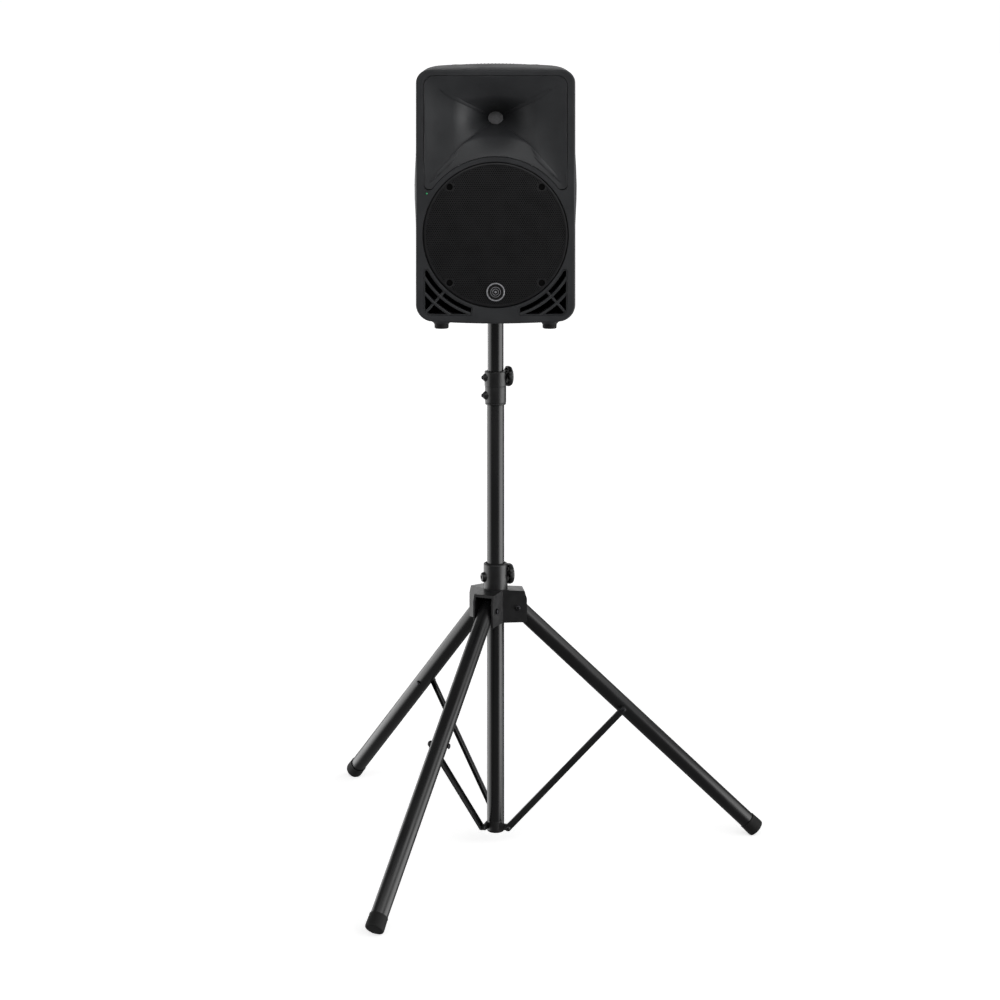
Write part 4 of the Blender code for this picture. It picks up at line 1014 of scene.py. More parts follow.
# carrying handle in the top
handle = box("t", (-100, -35, 1648), (100, 35, 1691.5))
rounded_edges(handle, 2.4, 4)
pocket = rounded_edges(box("p", (-96.5, -31.5, 1651), (96.5, 31.5, 1730)), 6.0, 5)
cut(handle, pocket)
grip = rounded_edges(box("g", (-98, -11, 1671), (98, 11, 1690.5)), 8.5, 8)
join(handle, grip)
for v in handle.data.vertices:                          # the rim follows the crown of the cabinet
    if v.co.z > 1.670:
        v.co.z -= 0.0034 * (v.co.x / 0.1) ** 2
keep(handle, "top_handle_cup", "cabinet_smooth", "speaker", "top_handle", sharp=36, slot="cabinet")
ridges = []
for k in range(17):
    ridges.append(rounded_edges(box("r", (-64 + 8 * k - 1.4, -8.5, 1690.0), (-64 + 8 * k + 1.4, 8.5, 1691.3)), 0.5, 2))
for ridge in ridges:
    for v in ridge.data.vertices:
        v.co.z -= 0.0034 * (v.co.x / 0.1) ** 2
keep(merge("t", ridges), "handle_grip_ridges", "rubber", "speaker")

# ------------------------------------------------------------------ horn
mouth = horn_outline(-0.6)
bm = bmesh.new()
rings = []
LIP = [(0.0, -1.6), (0.0, -0.6), (0.0006, -0.15), (0.0020, 0.0)]
FLARE = []
STEPS = 30
for k in range(STEPS + 1):
    u = k / STEPS
    FLARE.append(u)
stack = [(0.0, 7.0, 0.0), (0.0, 1.6, 0.0), (0.12, 1.15, 0.0), (0.45, 0.75, 0.0), (1.0, 0.60, 0.0)]


def horn_ring(inset_mm, depth):
    loop = []
    for x, z in mouth:
        dx, dz = -x, THROAT_Z - z
        d = math.hypot(dx, dz)
        px, pz = x + dx / d * inset_mm, z + dz / d * inset_mm
        loop.append((px, pz, FRONT - depth))
    return loop


def hollow(x, z):
    """Depth of the flare at a point: it falls away from every edge, and steeply into an oval round the throat."""
    reach = math.hypot(x, z - GRILLE_Z)
    near = (
        max(153.2 - abs(x), 0.02),
        max(1665.7 - z, 0.02),
        max(reach - 167.3, 0.02),
    )
    b = sum(d ** -1.15 for d in near) ** (-1 / 1.15)
    bowl = 23.0 * (1 - math.exp(-((b / 40.0) ** 1.5)))
    rho = math.hypot(x / 1.38, z - THROAT_Z)
    steep = 80.5 * math.exp(-((max(rho - 9.0, 0.0) / 24.0) ** 1.2))
    fade = 1 - math.exp(-b / 14.0)
    return 0.6 + bowl + steep * fade


def inside(x, z):
    return abs(x) < 153.1 and z < 1665.6 and math.hypot(x, z - GRILLE_Z) > 167.4


PULL = []
for i, (x, z) in enumerate(mouth):
    ax, az = mouth[i - 1]
    bx, bz = mouth[(i + 1) % len(mouth)]
    nx, nz = -(bz - az), bx - ax                       # inward, square to the outline
    size = math.hypot(nx, nz)
    nx, nz = nx / size, nz / size
    room = 4.0
    while room < 120.0 and inside(x + nx * room, z + nz * room):
        room += 2.0
    PULL.append((nx, nz, min(42.0, 0.42 * room)))
for _ in range(6):                                     # neighbouring paths leave alike
    PULL = [
        (
            PULL[i][0],
            PULL[i][1],
            (PULL[i - 1][2] + 2 * PULL[i][2] + PULL[(i + 1) % len(PULL)][2]) / 4,
        )
        for i in range(len(PULL))
    ]


def flare_ring(u):
    """Rings shrink from the mouth to the throat along curved paths, clear of the woofer's land."""
    loop = []
    for (x, z), (nx, nz, k) in zip(mouth, PULL):
        heading = math.atan2(z - THROAT_Z, x)
        tx = THROAT_R * math.cos(heading)
        tz = THROAT_Z + 0.86 * THROAT_R * math.sin(heading)
        cx, cz = x + nx * k, z + nz * k
        px = (1 - u) ** 2 * x + 2 * u * (1 - u) * cx + u * u * tx
        pz = (1 - u) ** 2 * z + 2 * u * (1 - u) * cz + u * u * tz
        reach = math.hypot(px, pz - GRILLE_Z)
        s = 5.0 * min(1.0, u * 5.0) + 0.05
        floor_at = 167.0
        over = (reach - floor_at) / s
        clear = floor_at + s * (over if over > 30 else math.log1p(math.exp(over)))
        px, pz = px * clear / reach, GRILLE_Z + (pz - GRILLE_Z) * clear / reach
        loop.append([px, pz, hollow(px, pz)])
    return loop


for inset, depth, _ in stack:
    rings.append([(x, z, d) for x, z, d in horn_ring(inset, depth)])
us = [0.012, 0.025, 0.04, 0.06] + [0.085 + 0.915 * (k / 46) ** 0.9 for k in range(47)]
flares = [flare_ring(u) for u in us]
deepest = HORN_DEPTH + 0.6
last = flares[-1]
top_depth = sum(p[2] for p in last) / len(last)
for u, loop in zip(us, flares):
    share = max(0.0, (u - 0.55) / 0.45)
    share = share * share * (3 - 2 * share)
    for p in loop:
        p[2] = p[2] + (deepest - top_depth) * share
        if u >= 0.999:
            p[2] = deepest
    rings.append([(x, z, FRONT - d) for x, z, d in loop])
vert_rings = [[bm.verts.new((x * MM, z * MM, d * MM)) for x, z, d in loop] for loop in rings]
for a, b in zip(vert_rings, vert_rings[1:]):
    for i in range(len(a)):
        j = (i + 1) % len(a)
        bm.faces.new((a[i], a[j], b[j], b[i]))
bm.normal_update()
if sum(f.normal.z * f.calc_area() for f in bm.faces) < 0:
    bmesh.ops.reverse_faces(bm, faces=bm.faces)
mesh = bpy.data.meshes.new("t")
bm.to_mesh(mesh)
bm.free()
horn = raw("t", mesh, TILT_FRONT)
solid = horn.modifiers.new("wall", "SOLIDIFY")
solid.thickness = 1.6 * MM
solid.offset = -1.0
solid.use_even_offset = False
apply_all(horn)
keep(horn, "horn_flare", "cabinet_smooth", "speaker", "horn_waveguide", sharp=60, slot="cabinet")

OVAL = Matrix.Scale(0.86, 4, (0.0, 1.0, 0.0))
throat_front = FRONT - 0.6 - HORN_DEPTH
# woven screen in the throat: a shallow dome with a rim and raised wires
screen = turned(
    "t",
    soften([(0, throat_front + 2.4), (9, throat_front + 2.0), (14.0, throat_front + 1.0), (15.2, throat_front + 1.3), (16.1, throat_front + 1.0), (16.1, throat_front - 0.3), (0, throat_front - 0.2)],
           [0, 3, 0.6, 0.4, 0.3, 0.1, 0], 3),
    72, matrix=TILT_FRONT @ place(0, THROAT_Z, 0) @ OVAL,
)
wires = []
for k in range(-6, 7):
    half = math.sqrt(max(14.0**2 - (k * 2.1) ** 2, 1.0))
    for spin_at in (0.0, math.pi / 2):
        w = box("w", (-half, k * 2.1 - 0.22, throat_front + 1.6), (half, k * 2.1 + 0.22, throat_front + 2.55),
                TILT_FRONT @ place(0, THROAT_Z, 0) @ OVAL @ turn(spin_at, "Z"))
        wires.append(w)
keep(merge("t", [screen] + wires), "throat_screen_disc", "throat_mesh", "speaker", "throat_screen")

# ------------------------------------------------------------------ perforated grille
PITCH, HOLE = 4.6, 1.42


def dome(x, y):
    return 158.55 - 2.5 * ((x * x + y * y) / 153.5**2)


row_step = PITCH * math.sqrt(3) / 2
corner_r = PITCH / math.sqrt(3)
verts, faces, index = [], [], {}


def shared(x, y):
    key = (round(x * 200), round(y * 200))
    if key not in index:
        index[key] = len(verts)
        verts.append((x * MM, y * MM, dome(x, y) * MM))
    return index[key]


count = int(156 / row_step) + 1
for j in range(-count, count + 1):
    y = j * row_step
    shift = PITCH / 2 if j % 2 else 0.0
    for i in range(-40, 41):
        x = i * PITCH + shift
        d = math.hypot(x, y)
        if d > 152.4:
            continue
        if any(math.hypot(x - sx, y - sz) < 8.2 for sx, sz in SCREWS):
            continue
        ring = [shared(x + corner_r * math.sin(math.radians(60 * k)), y + corner_r * math.cos(math.radians(60 * k))) for k in range(6)]
        plain = d > 150.0 or any(math.hypot(x - sx, y - sz) < 10.6 for sx, sz in SCREWS) or math.hypot(x, y - (1204.0 - GRILLE_Z)) < 18.5
        if plain:
            faces.append(tuple(ring))
            continue
        hole = []
        for k in range(6):
            a = math.radians(60 * k)
            verts.append(((x + HOLE * math.sin(a)) * MM, (y + HOLE * math.cos(a)) * MM, dome(x, y) * MM))
            hole.append(len(verts) - 1)
        for k in range(6):
            n2 = (k + 1) % 6
            faces.append((ring[k], ring[n2], hole[n2], hole[k]))
mesh = bpy.data.meshes.new("t")
mesh.from_pydata(verts, [], faces)
mesh.update()
bm = bmesh.new()
bm.from_mesh(mesh)
bm.normal_update()
if sum(f.normal.z for f in bm.faces) < 0:
    bmesh.ops.reverse_faces(bm, faces=bm.faces)
bm.to_mesh(mesh)
bm.free()
sheet = raw("t", mesh, TILT_FRONT @ place(0, GRILLE_Z, 0))
solid = sheet.modifiers.new("gauge", "SOLIDIFY")
solid.thickness = 1.0 * MM
solid.offset = -1.0
apply_all(sheet)
keep(sheet, "woofer_grille_sheet", "grille_steel", "speaker", "woofer_grille", sharp=40)
keep(
    turned(
        "t",
        soften([(149.7, 156.9), (152.0, 156.7), (154.6, 155.6), (155.5, 153.6), (155.5, 151.0), (154.3, 151.0), (154.3, 153.2), (149.7, 155.4)],
               [0.5, 1.5, 1.5, 1.0, 0.3, 0.3, 0.8, 0.3], 4, True),
        192, ring=True, matrix=TILT_FRONT @ place(0, GRILLE_Z, 0),
    ),
    "woofer_grille_rim", "grille_steel", "speaker",
)
keep(
    turned(
        "t",
        [(0, 157.0), (60, 156.7), (110, 155.9), (147.5, 154.9), (148.0, 154.7), (147.5, 154.5), (110, 155.5), (60, 156.3), (0, 156.6)],
        96, matrix=TILT_FRONT @ place(0, GRILLE_Z, 0),
    ),
    "grille_backing_cloth", "foam", "speaker", slot="rubber",
)
for number, (x, z) in enumerate(SCREWS, 1):
    spot = TILT_FRONT @ place(x, GRILLE_Z + z, 0)
    face = dome(x, z)
    cup = turned(
        "t",
        soften([(0, 152.4), (6.3, 152.4), (7.3, face + 0.05), (9.0, face + 0.35), (9.7, face - 0.1), (9.7, face - 0.9), (8.0, face - 1.0), (8.0, 150.4), (0, 150.4)],
               [0, 0.6, 0.5, 0.4, 0.3, 0.1, 0.1, 0.2, 0], 3),
        56, matrix=spot,
    )
    keep(cup, "grille_screw_cup_%d" % number, "grille_steel", "speaker", "grille_screw_%d" % number)
    keep(button_head("t", 4.3, 2.0, 152.5, 151.9, 4.0, 1.9, spot, 40), "grille_screw_head_%d" % number, "dark_steel", "speaker")

# ------------------------------------------------------------------ badge: plain ring, no mark
badge_at = TILT_FRONT @ place(0, 1204.0, 0)
keep(
    turned("t", soften([(17.0, 161.0), (17.6, 161.5), (19.0, 161.5), (19.7, 160.7), (19.7, 158.9), (17.0, 158.9)], [0.3, 0.4, 0.5, 0.4, 0.1, 0], 3, True), 96, ring=True, matrix=badge_at),
    "badge_ring", "bright_trim", "speaker", "badge",
)
keep(
    turned("t", soften([(0, 160.2), (15.0, 160.2), (16.9, 160.4), (16.9, 158.9), (0, 158.9)], [0, 0.3, 0.2, 0.1, 0], 3), 72, matrix=badge_at),
    "badge_disc", "badge_field", "speaker", slot="bright_trim",
)
inlay = []
for r, wdt in ((2.6, 2.6), (6.4, 1.0), (10.6, 0.9)):
    if r == wdt:
        inlay.append(turned("i", soften([(0, 161.0), (r - 0.3, 160.9), (r, 160.6), (r, 160.0), (0, 160.0)], [0, 0.3, 0.2, 0, 0], 2), 40, matrix=badge_at))
    else:
        sector = soften([(r - wdt / 2, 160.9), (r + wdt / 2, 160.9), (r + wdt / 2, 160.0), (r - wdt / 2, 160.0)], 0.2, 2, True)
        inlay.append(turned("i", sector, 64, ring=True, matrix=badge_at))
keep(merge("t", inlay), "badge_inlay", "bright_trim", "speaker")

# ------------------------------------------------------------------ power light
led_at = TILT_FRONT @ place(-147.0, 1414.0, 0)
keep(turned("t", soften([(0, 159.1), (1.3, 158.8), (2.0, 157.9), (2.0, 146.0), (0, 146.0)], [0, 0.8, 0.5, 0.1, 0], 4), 32, matrix=led_at),
     "power_light", "green_lens", "speaker", "front_led")

# ------------------------------------------------------------------ louvred ports
for side, word in ((-1, "left"), (1, "right")):
    duct = slab("t", [port_outline(side, 0.2)], 100.0, 156.6)
    airway = slab("a", [port_outline(side, 2.2)], 104.0, 170.0)
    cut(duct, airway)
    bars = []
    for radius, lip in ((177.0, 156.2), (196.0, 155.6)):
        strip = arc(0, GRILLE_Z, radius - 2.8, 185, 285, 60) + arc(0, GRILLE_Z, radius + 3.0, 285, 185, 60)
        bar = slab("l", [[(-side * x, z) for x, z in strip]], 128.0, lip)
        rounded_edges(bar, 1.3, 4)
        bars.append(bar)
    angle = math.radians(48.0)
    ux, uz = side * math.cos(angle), -math.sin(angle)
    qx, qz = -uz, ux
    rib = slab("r", [[
        (ux * 150 + qx * 2.7, GRILLE_Z + uz * 150 + qz * 2.7), (ux * 240 + qx * 2.7, GRILLE_Z + uz * 240 + qz * 2.7),
        (ux * 240 - qx * 2.7, GRILLE_Z + uz * 240 - qz * 2.7), (ux * 150 - qx * 2.7, GRILLE_Z + uz * 150 - qz * 2.7)]], 128.0, 154.2)
    rounded_edges(rib, 1.2, 4)
    join(bars[0], bars[1], rib)
    clip = slab("k", [port_outline(side, 1.6)], 100.0, 175.0)
    combine(bars[0], [clip], "INTERSECT")
    join(duct, bars[0])
    duct.matrix_world = TILT_FRONT
    keep(duct, "port_louvre_" + word, "cabinet_smooth", "speaker", "port_duct_" + word, sharp=34, slot="cabinet")
    # painted shade: a near-black sheet at the back of each closed port cup stands in for the dark depth of the duct
    shade_sheet = slab("t", [port_outline(side, 2.6)], 104.4, 106.0)
    shade_sheet.matrix_world = TILT_FRONT
    keep(shade_sheet, "port_painted_shade_" + word, "shade_paint", "speaker", slot="cabinet")

# ------------------------------------------------------------------ cabinet feet and pole socket
FEET = {
    "front_left": (-116.0, -128.0, 1139.9), "front_right": (116.0, -128.0, 1139.9),
    "rear_left": (-72.0, 96.0, 1138.4), "rear_right": (72.0, 96.0, 1138.4),
}
for corner, (x, y, top) in FEET.items():
    at = place(x, y, 0)
    keep(
        turned(
            "t",
            soften([(0, top + 0.2), (27.0, top + 0.2), (22.6, top - 1.0), (18.4, top - 3.8), (16.6, 1133.6), (15.9, 1133.0), (0, 1133.0)],
                   [0, 0.3, 3.0, 2.5, 0.6, 0.4, 0], 5),
            72, matrix=at,
        ),
        "foot_pedestal_" + corner, "cabinet", "speaker",
    )
    keep(
        turned(
            "t",
            soften([(0, 1133.2), (15.7, 1133.2), (15.7, 1131.6), (15.2, 1131.2), (15.2, 1124.4), (13.6, 1123.0), (5.0, 1123.0), (4.2, 1124.4), (0, 1124.4)],
                   [0, 0.3, 0.3, 0.2, 0.9, 0.9, 0.5, 0.4, 0], 4),
            72, matrix=at,
        ),
        "foot_pad_" + corner, "rubber", "speaker", "cabinet_foot_" + corner,
    )
keep(
    turned(
        "t",
        soften(
            [(0, 1232.0), (22.0, 1232.0), (24.0, 1230.0), (24.0, 1150.0), (34.0, 1149.0), (34.0, 1144.6), (26.0, 1144.6), (26.0, 1137.6), (24.8, 1136.4),
             (19.4, 1136.4), (17.9, 1138.4), (17.9, 1222.6), (0, 1224.6)],
            [0, 1.5, 1.5, 0.5, 0.5, 0.3, 0.3, 0.8, 0.8, 1.0, 1.2, 0.3, 0], 3,
        ),
        96,
    ),
    "pole_socket_cup", "moulded_nylon", "speaker", "pole_socket",
)


# ------------------------------------------------------------------ amplifier panel at the back
def rear(x, z):
    """Frame at a point of the rear panel; local Z points backward, local X to the viewer's left."""
    return place(x, 0, z) @ turn(-math.pi / 2, "X")


LEVEL_AT, MIC_AT, CONTOUR_AT = (0.0, 1352.0), (-42.0, 1352.0), (42.0, 1352.0)
INPUT_AT, OUTPUT_AT = (-40.0, 1300.0), (40.0, 1300.0)
INLET_AT, SWITCH_AT = (-34.0, 1240.0), (34.0, 1240.0)


def window(x, z, w, h):
    return [(x - w, z - h), (x + w, z - h), (x + w, z + h), (x - w, z + h)]


def circle(x, z, r, count=48):
    return arc(x, z, r, 0, 360, count)[:-1]


def round_window(x, z, w, h, r):
    return soften(window(x, z, w, h), r, 5, True)


mid = (PANEL_LO + PANEL_HI) / 2
tall = (PANEL_HI - PANEL_LO) / 2
plate_body = slab(
    "t",
    [
        round_window(0, mid, PANEL_HW, tall, 2.0),
        circle(*LEVEL_AT, 4.4, 32),
        circle(*INPUT_AT, 12.6),
        circle(*OUTPUT_AT, 12.6),
        window(*MIC_AT, 5.0, 5.0),
        window(*CONTOUR_AT, 5.0, 5.0),
        window(*INLET_AT, 14.2, 10.4),
        window(*SWITCH_AT, 8.0, 12.0),
    ],
    -149.6, -146.0,
)
rim = slab("r", [round_window(0, mid, PANEL_HW, tall, 2.0), round_window(0, mid, PANEL_HW - 3, tall - 3, 4.0)], -158.0, -149.0)
rounded_edges(rim, 0.9, 3)
join(plate_body, rim)
fins = []
for number in range(15):
    x = -70 + 10 * number
    fin = slab("f", [[(x - 1.7, -149.0), (x - 1.1, -157.2), (x + 1.1, -157.2), (x + 1.7, -149.0)]], 1402.0, 1544.0)
    rounded_edges(fin, 0.5, 2)
    fins.append(fin)
# a fin's outline is drawn across the panel, so it is turned upright before it is joined
for fin in fins:
    fin.data.transform(Matrix(((1, 0, 0, 0), (0, 0, 1, 0), (0, 1, 0, 0), (0, 0, 0, 1))))
    bm = bmesh.new()
    bm.from_mesh(fin.data)
    bmesh.ops.recalc_face_normals(bm, faces=bm.faces)
    bm.to_mesh(fin.data)
    bm.free()
join(plate_body, *fins)
plate_body.matrix_world = TILT_FRONT
keep(plate_body, "amplifier_panel", "coated_panel", "speaker", "amp_panel", sharp=34)

# panel screws, with washers
n = 0
for x in (-73, 73):
    for z in (1213.5, 1280.0, 1388.0):
        n += 1
        screw = button_head("t", 3.4, 2.0, 150.4, 149.7, 3.0, 1.5, rear(x, z), 36)
        washer = turned("w", soften([(0, 150.5), (4.6, 150.5), (4.8, 149.9), (0, 149.9)], [0, 0.3, 0.1, 0]), 36, matrix=rear(x, z))
        keep(merge("t", [washer, screw]), "panel_screw_%d" % n, "dark_steel", "speaker")

# level knob: skirt, fluted grip, pointer
level_at = place(LEVEL_AT[0], 150.0, LEVEL_AT[1]) @ turn(-math.pi / 2, "X")


def fluted(r, z, a):
    if 8.0 < r < 10.4 and z > 1.8:
        return r - 0.35 * (0.5 - 0.5 * math.cos(24 * a)), z
    return r, z


knob_body = turned(
    "t",
    soften([(0, 9.0), (7.6, 9.0), (8.7, 8.2), (9.3, 2.8), (10.9, 1.8), (11.0, 0.6), (4.0, 0.6), (4.0, -9.0), (0, -9.0)],
           [0, 0.8, 0.6, 0.6, 0.3, 0.3, 0.1, 0.2, 0], 4),
    192, matrix=level_at, shape=fluted,
)
cut(knob_body, rounded_edges(box("p", (-0.7, -9.6, 8.1), (0.7, -2.6, 12.0), level_at), 0.2, 1))
keep(knob_body, "level_knob_skirted", "moulded_nylon", "level", "level_knob", sharp=34)
keep(rounded_edges(box("t", (-0.6, -8.3, 7.9), (0.6, -2.8, 8.7), level_at), 0.15, 1), "level_knob_pointer", "print", "level", slot="moulded_nylon")

# dial ticks round the level knob, plain strokes
ticks = []
for k in range(11):
    a = math.radians(-90 - 150 + 30 * k + 0)
    long = 2.6 if k in (0, 5, 10) else 1.6
    t = box("k", (12.6, -0.22, 149.55), (12.6 + long, 0.22, 149.85), rear(*LEVEL_AT) @ turn(math.radians(-90) + math.radians(-150 + 30 * k), "Z"))
    ticks.append(t)
for (cx, cz), w, h in ((INPUT_AT, 21, 21), (OUTPUT_AT, 21, 21), (MIC_AT, 11, 11), (CONTOUR_AT, 11, 11)):
    frame_line = slab("l", [round_window(0, 0, w, h, 3.0), round_window(0, 0, w - 0.5, h - 0.5, 2.7)], 149.55, 149.75, rear(cx, cz))
    ticks.append(frame_line)
for x0, x1, z in ((-66, 66, 1392.0), (-66, 66, 1268.0)):
    ticks.append(box("l", (x0, -0.3, 149.55), (x1, 0.3, 149.75), rear(0, z)))
keep(merge("t", ticks), "panel_print", "print", "speaker", slot="coated_panel")

# signal and power lights beside the level knob
for word, x, mat in (("signal", -18.0, "green_lens"), ("power", 18.0, "green_lens")):
    keep(turned("t", soften([(0, 151.4), (1.2, 151.1), (1.6, 150.3), (1.6, 149.65), (0, 149.65)], [0, 0.5, 0.3, 0, 0], 3), 28, matrix=rear(x, 1370.0)),
         "rear_" + word + "_light", mat, "speaker")

# buttons keep the frame's shape with softer edges
for word, at in (("mic_line", MIC_AT), ("contour", CONTOUR_AT)):
    base = place(at[0], 150.0, at[1]) @ turn(-math.pi / 2, "X")
    b = box("t", (-4.5, -4.5, -12.0), (4.5, 4.5, 3.6), base)
    rounded_edges(b, 0.7, 4)
    dish = turned("d", [(0, 6), (30, 6), (30, 5.2), (14, 4.2), (6, 3.6), (0, 3.15)], 64, matrix=base)
    cut(b, dish)
    keep(b, word + "_push_button", "moulded_nylon", word, word + "_button", sharp=34)

# connectors
for word, (x, z) in (("input", INPUT_AT), ("output", OUTPUT_AT)):
    at = rear(x, z)
    body = turned(
        "t",
        soften([(0, 137.0), (9.6, 137.0), (9.6, 152.2), (10.4, 153.0), (14.8, 153.0), (15.6, 152.4), (15.6, 150.0), (12.0, 150.0), (12.0, 130.0), (0, 130.0)],
               [0, 0.3, 0.4, 0.5, 0.5, 0.4, 0.2, 0.1, 0.3, 0], 3),
        80, matrix=at,
    )
    flange = slab("f", [round_window(0, 0, 12.5, 15.2, 3.0), circle(0, 0, 11.4, 64)], 149.8, 151.6, at)
    rounded_edges(flange, 0.4, 2)
    join(body, flange)
    if word == "input":
        core = turned("c", soften([(0, 146.0), (6.8, 146.0), (7.6, 145.2), (7.6, 136.0), (0, 136.0)], [0, 0.5, 0.4, 0, 0], 3), 64, matrix=at)
        cut(core, *[drum("h", 1.1, 140, 150, 24, at @ place(3.6 * math.cos(a), 3.6 * math.sin(a), 0)) for a in (math.radians(90), math.radians(210), math.radians(330))])
        cut(core, drum("jack", 1.9, 139, 150, 32, at))
        join(body, core)
    keep(body, word + "_connector", "dark_steel", "speaker", word + "_socket")
    if word == "output":
        pins = [turned("p", soften([(0, 149.6), (0.9, 149.2), (1.2, 148.4), (1.2, 136.6), (0, 136.6)], [0, 0.4, 0.3, 0, 0], 3), 24,
                       matrix=at @ place(4.4 * math.cos(a), 4.4 * math.sin(a), 0)) for a in (math.radians(90), math.radians(210), math.radians(330))]
        keep(merge("t", pins), "output_pins", "gold", "speaker", slot="dark_steel")
    else:
        lever = rounded_edges(box("t", (-3.0, 11.6, 151.4), (3.0, 14.6, 154.2), at), 0.7, 3)
        keep(lever, "input_latch", "zinc", "speaker", slot="dark_steel")
    for k, (dx, dz) in enumerate(((-9.6, 12.4), (9.6, -12.4))):
        keep(button_head("t", 1.9, 1.2, 151.6, 151.2, 1.2, 0.8, at @ place(dx, dz, 0), 24), "%s_flange_screw_%d" % (word, k + 1), "dark_steel", "speaker")

inlet = rounded_edges(box("t", (INLET_AT[0] - 13.8, 128.0, INLET_AT[1] - 10.0), (INLET_AT[0] + 13.8, 153.0, INLET_AT[1] + 10.0)), 1.2, 3)
mouth_in = slab(
    "m",
    [soften([(-11.6, -7.8), (11.6, -7.8), (11.6, 3.4), (7.6, 7.8), (-7.6, 7.8), (-11.6, 3.4)], 1.6, 4, True)],
    134.0, 172.0, rear(*INLET_AT) @ turn(math.pi, "Z"),
)
cut(inlet, mouth_in)
keep(inlet, "power_inlet_body", "moulded_nylon", "speaker", "power_inlet", sharp=34)
blades = []
for dx, dz in ((-6.8, -1.6), (0.0, 2.0), (6.8, -1.6)):
    blades.append(rounded_edges(box("b", (INLET_AT[0] + dx - 1.0, 134.2, INLET_AT[1] + dz - 2.2), (INLET_AT[0] + dx + 1.0, 149.0, INLET_AT[1] + dz + 2.2)), 0.45, 2))
keep(merge("t", blades), "power_inlet_blades", "zinc", "speaker", slot="dark_steel")

# rocker switch, with its bezel fixed to the panel
to_switch = place(SWITCH_AT[0], 147.0, SWITCH_AT[1]) @ turn(math.radians(-8.0), "X")
rocker = slab(
    "t",
    [soften([(-9.8, -6.0), (9.8, -6.0), (10.2, 4.8), (6.0, 3.9), (0.0, 3.3), (-6.0, 3.9), (-10.2, 4.8)], [0.5, 0.5, 0.8, 4, 5, 4, 0.8], 5, True)],
    -6.4, 6.4, to_switch @ Matrix(((0, 0, 1, 0), (0, 1, 0, 0), (-1, 0, 0, 0), (0, 0, 0, 1))),
)
rounded_edges(rocker, 0.7, 3)
keep(rocker, "power_rocker", "moulded_nylon", "power", "power_switch", sharp=34)
bezel = slab("t", [round_window(0, 0, 9.6, 13.6, 1.6), window(0, 0, 7.9, 11.9)], 149.7, 151.0, rear(*SWITCH_AT))
rounded_edges(bezel, 0.4, 2)
keep(bezel, "power_switch_bezel", "moulded_nylon", "speaker", sharp=34)

# ------------------------------------------------------------------ pieces of the frame that stay as they are
INSIDE = {
    "woofer_basket": "dark_steel", "woofer_magnet": "dark_steel", "woofer_surround": "rubber",
    "woofer_cone": "cone_paper", "compression_driver": "dark_steel", "amp_board": "circuit_board",
    "mains_transformer": "copper_winding", "pole_glide": "moulded_nylon",
}
for name, mat in INSIDE.items():
    ob = nodes[name]
    ob.data.materials.clear()
    ob.data.materials.append(M[mat])
    for poly in ob.data.polygons:
        poly.material_index = 0
    ob.data.set_sharp_from_angle(angle=math.radians(34))
    weld = ob.modifiers.new("weld", "WELD")
    weld.merge_threshold = 0.000005
    edge = ob.modifiers.new("edges", "BEVEL")
    edge.width = 0.5 * MM
    edge.segments = 2
    edge.limit_method = "ANGLE"
    edge.angle_limit = math.radians(45)


# ------------------------------------------------------------------ floor, light and camera
floor_mat = bpy.data.materials.new("pale_floor")
floor_mat.use_nodes = True
nt = floor_mat.node_tree
nt.nodes.clear()
new, link = nt.nodes.new, nt.links.new
out = new("ShaderNodeOutputMaterial")
path = new("ShaderNodeLightPath")
seen = new("ShaderNodeMixShader")
pale = new("ShaderNodeBsdfDiffuse")
speck = new("ShaderNodeTexNoise")
speck.inputs["Scale"].default_value = 60.0
tone = new("ShaderNodeMapRange")
tone.inputs["To Min"].default_value = 0.88
tone.inputs["To Max"].default_value = 0.92
link(speck.outputs["Fac"], tone.inputs["Value"])
link(tone.outputs[0], pale.inputs["Color"])
lift = new("ShaderNodeEmission")
lift.inputs["Strength"].default_value = 0.62
both = new("ShaderNodeAddShader")
link(pale.outputs[0], both.inputs[0])
link(lift.outputs[0], both.inputs[1])
through = new("ShaderNodeBsdfTransparent")      # the soft boxes reach below the floor's level
link(path.outputs["Is Camera Ray"], seen.inputs["Fac"])
link(through.outputs[0], seen.inputs[1])
link(both.outputs[0], seen.inputs[2])
link(seen.outputs[0], out.inputs[0])
bpy.ops.mesh.primitive_plane_add(size=900.0, location=(0, 0, cad_low.z - 0.0002))
floor = bpy.context.object
floor.name = "studio_floor"
floor.data.materials.append(floor_mat)

# Studio surround: two tall soft boxes beside the object, a soft top, dark in front and behind.
world = bpy.data.worlds.new("studio")
bpy.context.scene.world = world
world.use_nodes = True
nt = world.node_tree
nt.nodes.clear()
new, link = nt.nodes.new, nt.links.new


def math_node(op, a, b=None, c=None):
    n = new("ShaderNodeMath")
    n.operation = op
    for i, v in enumerate((a, b, c)):
        if v is None:
            continue
        if isinstance(v, (int, float)):
            n.inputs[i].default_value = v
        else:
            link(v, n.inputs[i])
    return n.outputs[0]


def ramp_node(value, a, b, lo=0.0, hi=1.0):
    n = new("ShaderNodeMapRange")
    n.interpolation_type = "SMOOTHSTEP"
    n.inputs["From Min"].default_value = a
    n.inputs["From Max"].default_value = b
    n.inputs["To Min"].default_value = lo
    n.inputs["To Max"].default_value = hi
    link(value, n.inputs["Value"])
    return n.outputs[0]


out = new("ShaderNodeOutputWorld")
coord = new("ShaderNodeTexCoord")
split = new("ShaderNodeSeparateXYZ")
link(coord.outputs["Generated"], split.inputs[0])
x, y, z = split.outputs
front = math_node("MULTIPLY", y, -1.0)
azimuth = math_node("MULTIPLY", math_node("ARCTAN2", x, front), 180 / math.pi)      # 0 in front, +90 at the right


def band(lo, hi, soft):
    return math_node("MULTIPLY", ramp_node(azimuth, lo - soft, lo + soft), ramp_node(azimuth, hi - soft, hi + soft, 1.0, 0.0))


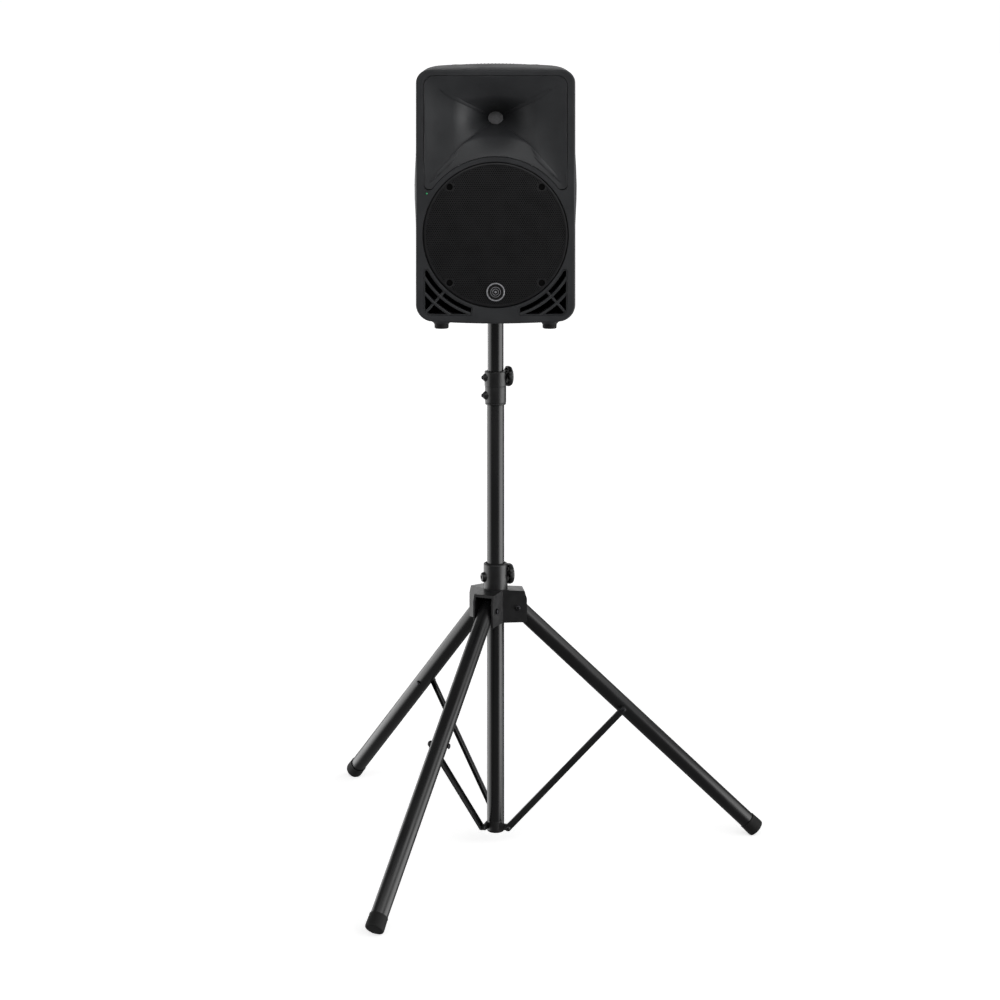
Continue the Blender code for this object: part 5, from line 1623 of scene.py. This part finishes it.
upright = math_node("MULTIPLY", ramp_node(z, 0.46, 0.04), ramp_node(z, -0.75, -0.35))
right_box = math_node("MULTIPLY", band(52.0, 108.0, 13.0), upright)
left_box = math_node("MULTIPLY", band(-150.0, -74.0, 16.0), upright)
top = math_node("MULTIPLY", band(-52.0, 52.0, 22.0), math_node("MULTIPLY", ramp_node(z, 0.26, 0.54), ramp_node(z, 0.86, 0.62)))
aside = math_node("MULTIPLY", band(34.0, 122.0, 20.0), math_node("MULTIPLY", ramp_node(z, 0.40, 0.58), ramp_node(z, 0.86, 0.72)))
behind = math_node("MULTIPLY", ramp_node(y, 0.80, 0.98), ramp_node(z, -0.05, 0.12))
light = math_node("ADD", math_node("MULTIPLY", right_box, 3.0), math_node("MULTIPLY", left_box, 2.1))
light = math_node("ADD", light, math_node("MULTIPLY", top, 1.7))
light = math_node("ADD", light, math_node("MULTIPLY", aside, 1.1))
light = math_node("ADD", light, math_node("MULTIPLY", behind, 1.1))
light = math_node("ADD", light, 0.15)
lamp = new("ShaderNodeBackground")
lamp.inputs["Color"].default_value = (1, 1, 1, 1)
link(light, lamp.inputs["Strength"])
white = new("ShaderNodeBackground")
white.inputs["Color"].default_value = (1, 1, 1, 1)
white.inputs["Strength"].default_value = 1.02
path = new("ShaderNodeLightPath")
mix = new("ShaderNodeMixShader")
link(path.outputs["Is Camera Ray"], mix.inputs["Fac"])
link(lamp.outputs[0], mix.inputs[1])
link(white.outputs[0], mix.inputs[2])
link(mix.outputs[0], out.inputs[0])

cam_data = bpy.data.cameras.new("camera")
cam = bpy.data.objects.new("camera", cam_data)
bpy.context.scene.collection.objects.link(cam)
bpy.context.scene.camera = cam
cam.location = (0.0, -5.090, 1.728)
cam.rotation_euler = (math.radians(90), 0, 0)
cam_data.sensor_width = 36.0
cam_data.lens = 83.15
cam_data.clip_end = 1000.0
cam_data.shift_x = 0.0044
cam_data.shift_y = -0.4534
# the shift belongs to this one place of the camera; anywhere else the lens is centred
for channel, value in (("shift_x", 0.0044), ("shift_y", -0.4534)):
    curve = cam_data.driver_add(channel)
    driver = curve.driver
    driver.type = "SCRIPTED"
    var = driver.variables.new()
    var.name = "y"
    var.type = "TRANSFORMS"
    var.targets[0].id = cam
    var.targets[0].transform_type = "LOC_Y"
    var.targets[0].transform_space = "WORLD_SPACE"
    driver.expression = "%r if abs(y + 5.09) < 0.01 else 0.0" % value

bpy.context.scene.view_settings.view_transform = "Standard"
bpy.context.scene.view_settings.look = "None"
